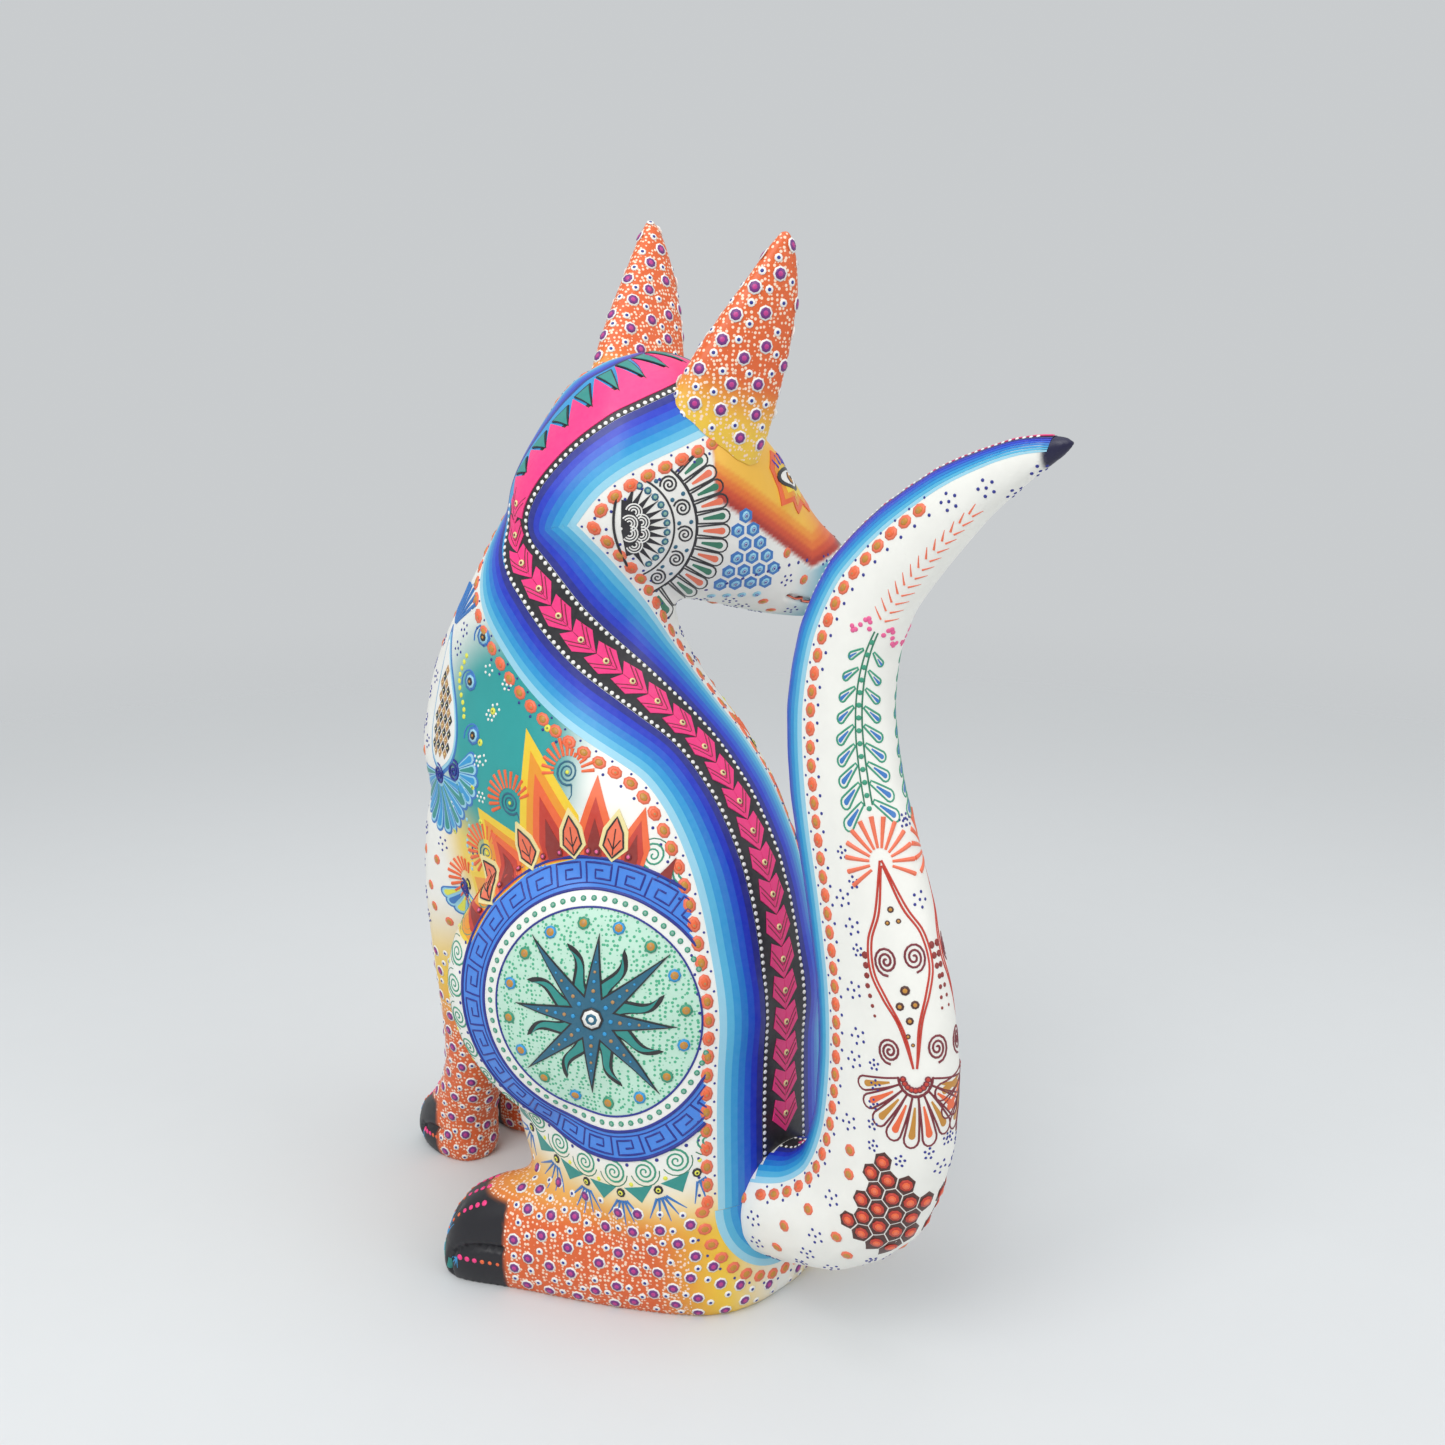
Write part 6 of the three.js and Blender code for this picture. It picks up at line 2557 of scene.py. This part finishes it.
class Studio:
    """A plain pale sweep, soft light and the camera. Sizes are metres."""

    PALE = "#D8DADB"
    SKY = "#D3D6D8"
    REACH = 2.4
    AIM = Vector((0, 0, 0.2))
    EYE_MM = Vector((371.7, 398.6, 338.0))
    SENSOR_MM = 36.0
    LENS_MM = 36.12
    HEADING = math.radians(133.8)
    PITCH = math.radians(13)
    LIGHTS = (("key", (0.95, 0.15, 1.15), 9.6, 0.9), ("fill", (-0.35, 1.2, 0.8), 4.6, 1.0),
              ("top", (0.0, 0.0, 1.5), 4.8, 1.2))

    def build(self) -> None:
        """Builds all of it."""
        self.floor()
        self.lights()
        self.camera()

    def floor(self) -> None:
        """A wide floor of matt paper, dull and even to the eye, that fades into the world's light far out."""
        material, tree = new_material("matt_backdrop_paper")
        place = add_node(tree, "ShaderNodeTexCoord").outputs["Object"]
        fibre = add_node(tree, "ShaderNodeTexNoise", Vector=place, Scale=40.0, Detail=3.0)
        pale = Vector(linear(self.PALE)[:3])
        tone = add_node(tree, "ShaderNodeMix", {"data_type": "RGBA"}, i0=fibre.outputs["Fac"],
                        i6=(*(pale * 0.985), 1), i7=(*pale, 1))
        shader = add_node(tree, "ShaderNodeBsdfPrincipled", Base_Color=tone.outputs[2], Roughness=0.85)
        away = add_node(tree, "ShaderNodeVectorMath", {"operation": "LENGTH"}, Vector=place)
        fade = add_node(tree, "ShaderNodeMapRange", {"interpolation_type": "SMOOTHSTEP"},
                        Value=away.outputs["Value"], From_Min=0.35, From_Max=1.7)
        clear = add_node(tree, "ShaderNodeBsdfTransparent")
        faded = add_node(tree, "ShaderNodeMixShader", i0=fade.outputs["Result"], i1=shader.outputs["BSDF"],
                         i2=clear.outputs["BSDF"])
        add_node(tree, "ShaderNodeOutputMaterial", Surface=faded.outputs["Shader"])
        mesh = bpy.data.meshes.new("backdrop")
        mesh.from_pydata([(x * self.REACH, y * self.REACH, 0) for x, y in ((-1, -1), (1, -1), (1, 1), (-1, 1))],
                         [], [(0, 1, 2, 3)])
        add_object("backdrop", mesh, material)
        world = bpy.data.worlds.new("studio")
        world.use_nodes = True
        world.node_tree.nodes["Background"].inputs["Color"].default_value = linear(self.SKY)
        world.node_tree.nodes["Background"].inputs["Strength"].default_value = 0.9
        bpy.context.scene.world = world
        bpy.context.scene.view_settings.view_transform = "Standard"

    def lights(self) -> None:
        """A broad soft light over the camera's left shoulder, a fill on the other side and one above."""
        for name, place, power, size in self.LIGHTS:
            self.light(name, place, power, size)

    def light(self, name: str, place: Sequence[float], power: float, size: float) -> None:
        """One square area light aimed at the middle of the figure."""
        data = bpy.data.lights.new(name, "AREA")
        data.energy, data.size = power, size
        made = bpy.data.objects.new(name, data)
        made.location = place
        aim = self.AIM - made.location
        made.rotation_euler = aim.to_track_quat("-Z", "Y").to_euler()
        bpy.context.scene.collection.objects.link(made)

    def camera(self) -> None:
        """The portrait camera, behind the animal's left haunch."""
        data = bpy.data.cameras.new("camera")
        data.sensor_width, data.lens = self.SENSOR_MM, self.LENS_MM
        made = bpy.data.objects.new("camera", data)
        made.location = Vector(to_row(self.EYE_MM))
        made.rotation_euler = (math.pi / 2 - self.PITCH, 0, self.HEADING)
        bpy.context.scene.collection.objects.link(made)
        bpy.context.scene.camera = made


# ---------------------------------------------------------------- the whole figure

def dress_turnings() -> None:
    """Gives the dowels and pegs, which stay as they are, their bare wood."""
    for name in (*GLUED, "right_ear_peg", "left_ear_peg", "tail_peg"):
        node = frame["nodes"][name]
        node.data.materials.clear()
        node.data.materials.append(TurnedCopal().material())


PROBE = Vector((0.31, 0.27, -0.91)).normalized()
MOST_CROSSINGS = 12


def inside(tree: BVHTree, depth: float) -> Callable[[Vector], bool]:
    """A test for places that lie deeper than depth inside a closed surface."""
    def test(point: Vector) -> bool:
        """Counts how often a ray from the place leaves or enters the surface."""
        if tree.find_nearest(point, depth)[0] is not None:
            return False
        start, crossings = point.copy(), 0
        while crossings < MOST_CROSSINGS:
            found = tree.ray_cast(start, PROBE)[0]
            if found is None:
                break
            start = found + PROBE * 1e-3
            crossings += 1
        return crossings % 2 == 1
    return test


def paint_figure(figure: CarvedFigure, pieces: dict[str, LoosePiece]) -> None:
    """Paints everything that rides on the glued-up figure."""
    tests = [inside(piece.tree, 2.4) for piece in pieces.values()]

    def covered(point: Vector) -> bool:
        """True under an ear or the tail."""
        return any(test(point) for test in tests)
    spine = SpineBand(figure.tree, covered)
    spine.build()
    spine.under_tail(figure.tree)
    spine.brush.finish()

    def taken(point: Vector) -> bool:
        """True there and under the spine's band."""
        return covered(point) or spine.covers(point)
    for side in (1, -1):
        for motif in (Haunch, Cheek, Face, Shoulder):
            painted = motif(figure.tree, side, taken)
            painted.build()
            painted.brush.finish()
        name = "left" if side > 0 else "right"
        for paw, plan in PAWS.items():
            Paw(figure.tree, f"{name}_{paw}", plan, side).build()
    for motif in (ChestRose(figure.tree), Brow(figure.tree, taken)):
        motif.build()
        motif.brush.finish()
    scatter_circles("legs", FIGURE, figure.skin, leg_ground, 8.0, 2.7, 11)
    fill_gaps("figure_gaps", FIGURE, figure.skin, taken, 31)


def painted_points(body: str) -> KDTree:
    """Every point of the paint that rides on a body so far, but the skin's own."""
    found = [made for made in bpy.data.objects if made.get("painted_on") == body]
    places = [from_row(np.array([vert.co for vert in made.data.vertices])) for made in found]
    return kd_tree(np.concatenate(places))


CLEARANCE = 5.0
LEAST_WHITE = 0.55


def fill_gaps(name: str, body: str, skin: Surface, hidden: Callable[[Vector], bool], seed: int) -> None:
    """Clusters of navy dots, and ringed dots between them, wherever the white ground is still bare."""
    near = painted_points(body)
    wash_tree = skin.tree()

    def bare(points: np.ndarray) -> np.ndarray:
        """Which points lie on white ground, clear of other paint and off the floor."""
        kept = []
        for point in points:
            place = Vector(point)
            clear = near.find(place)[2] > CLEARANCE and not hidden(place) and point[2] > 4
            face = skin.faces[wash_tree.find_nearest(place)[2]]
            kept.append(clear and min(skin.wash[face[0]]) > LEAST_WHITE)
        return np.array(kept)
    scatter = Scatter(skin, bare, 8.6, seed)
    brush = Brush(name, body, scatter)
    for i in range(len(scatter.places)):
        if i % 4 == 3:
            brush.ringed(i, 0, (2.3, 1.5, 0.7), (Paint.CORAL, Paint.GOLD, Paint.TAN))
            continue
        point, normal = scatter.places[i]
        across = normal.orthogonal()
        brush.dot(i, 0, 0.6, Paint.NAVY)
        for k in range(5):
            turn = Matrix.Rotation(math.tau * k / 5, 3, normal)
            place, facing, _, _ = wash_tree.find_nearest(point + turn @ across * 1.9)
            brush.bead(place, facing, across, 0.6, 0.6, Paint.NAVY, 0)
    brush.finish()


def leg_ground(points: np.ndarray) -> np.ndarray:
    """Which points lie on the orange and yellow of the legs."""
    x, y, z = points.T
    heel, line = PAWS["hind"].heel, PAWS["hind"].line
    along = (np.abs(x) - heel.x) * line.x + (y - heel.y) * line.y
    hind = (y > -50) & (z < 46) & (along < 72) & (np.abs(x) > 4)
    fore = (y < BLANK.leg_y) & (z < 108) & ((y > -102) | (z > 30))
    behind = (y > 50) & (np.hypot(x, z - 46) < 39)
    return (hind | fore) & (z > 2.5) & ~behind


def paint_loose(figure: CarvedFigure, pieces: dict[str, LoosePiece]) -> None:
    """Paints what rides on the ears and the tail."""
    band = TailBand(pieces["tail"].tree, inside(figure.tree, 0.2))
    band.build()
    band.brush.finish()
    for side in (1, -1):
        motifs = TailSide(pieces["tail"].tree, side)
        motifs.build()
        motifs.brush.finish()
    fill_gaps("tail_gaps", "tail", pieces["tail"].skin, inside(figure.tree, 0.2), 41)
    for i, (name, ear) in enumerate(EARS.items()):
        base, axis = np.array(ear.seat), np.array(ear.axis)
        scatter_circles(name, name, pieces[name].skin, lambda p: (p - base) @ axis > 7, 9.0, 2.9, 20 + i)


def main() -> None:
    """Builds the figure and the studio round it."""
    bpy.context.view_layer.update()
    figure = CarvedFigure()
    figure.build()
    pieces = {}
    for name, fitting in FITTINGS.items():
        piece = LoosePiece(name, fitting)
        Airbrush(piece.skin).loose(name)
        piece.build(figure.skin)
        pieces[name] = piece
    paint_figure(figure, pieces)
    paint_loose(figure, pieces)
    dress_turnings()
    Studio().build()


if __name__ == "__main__":
    main()
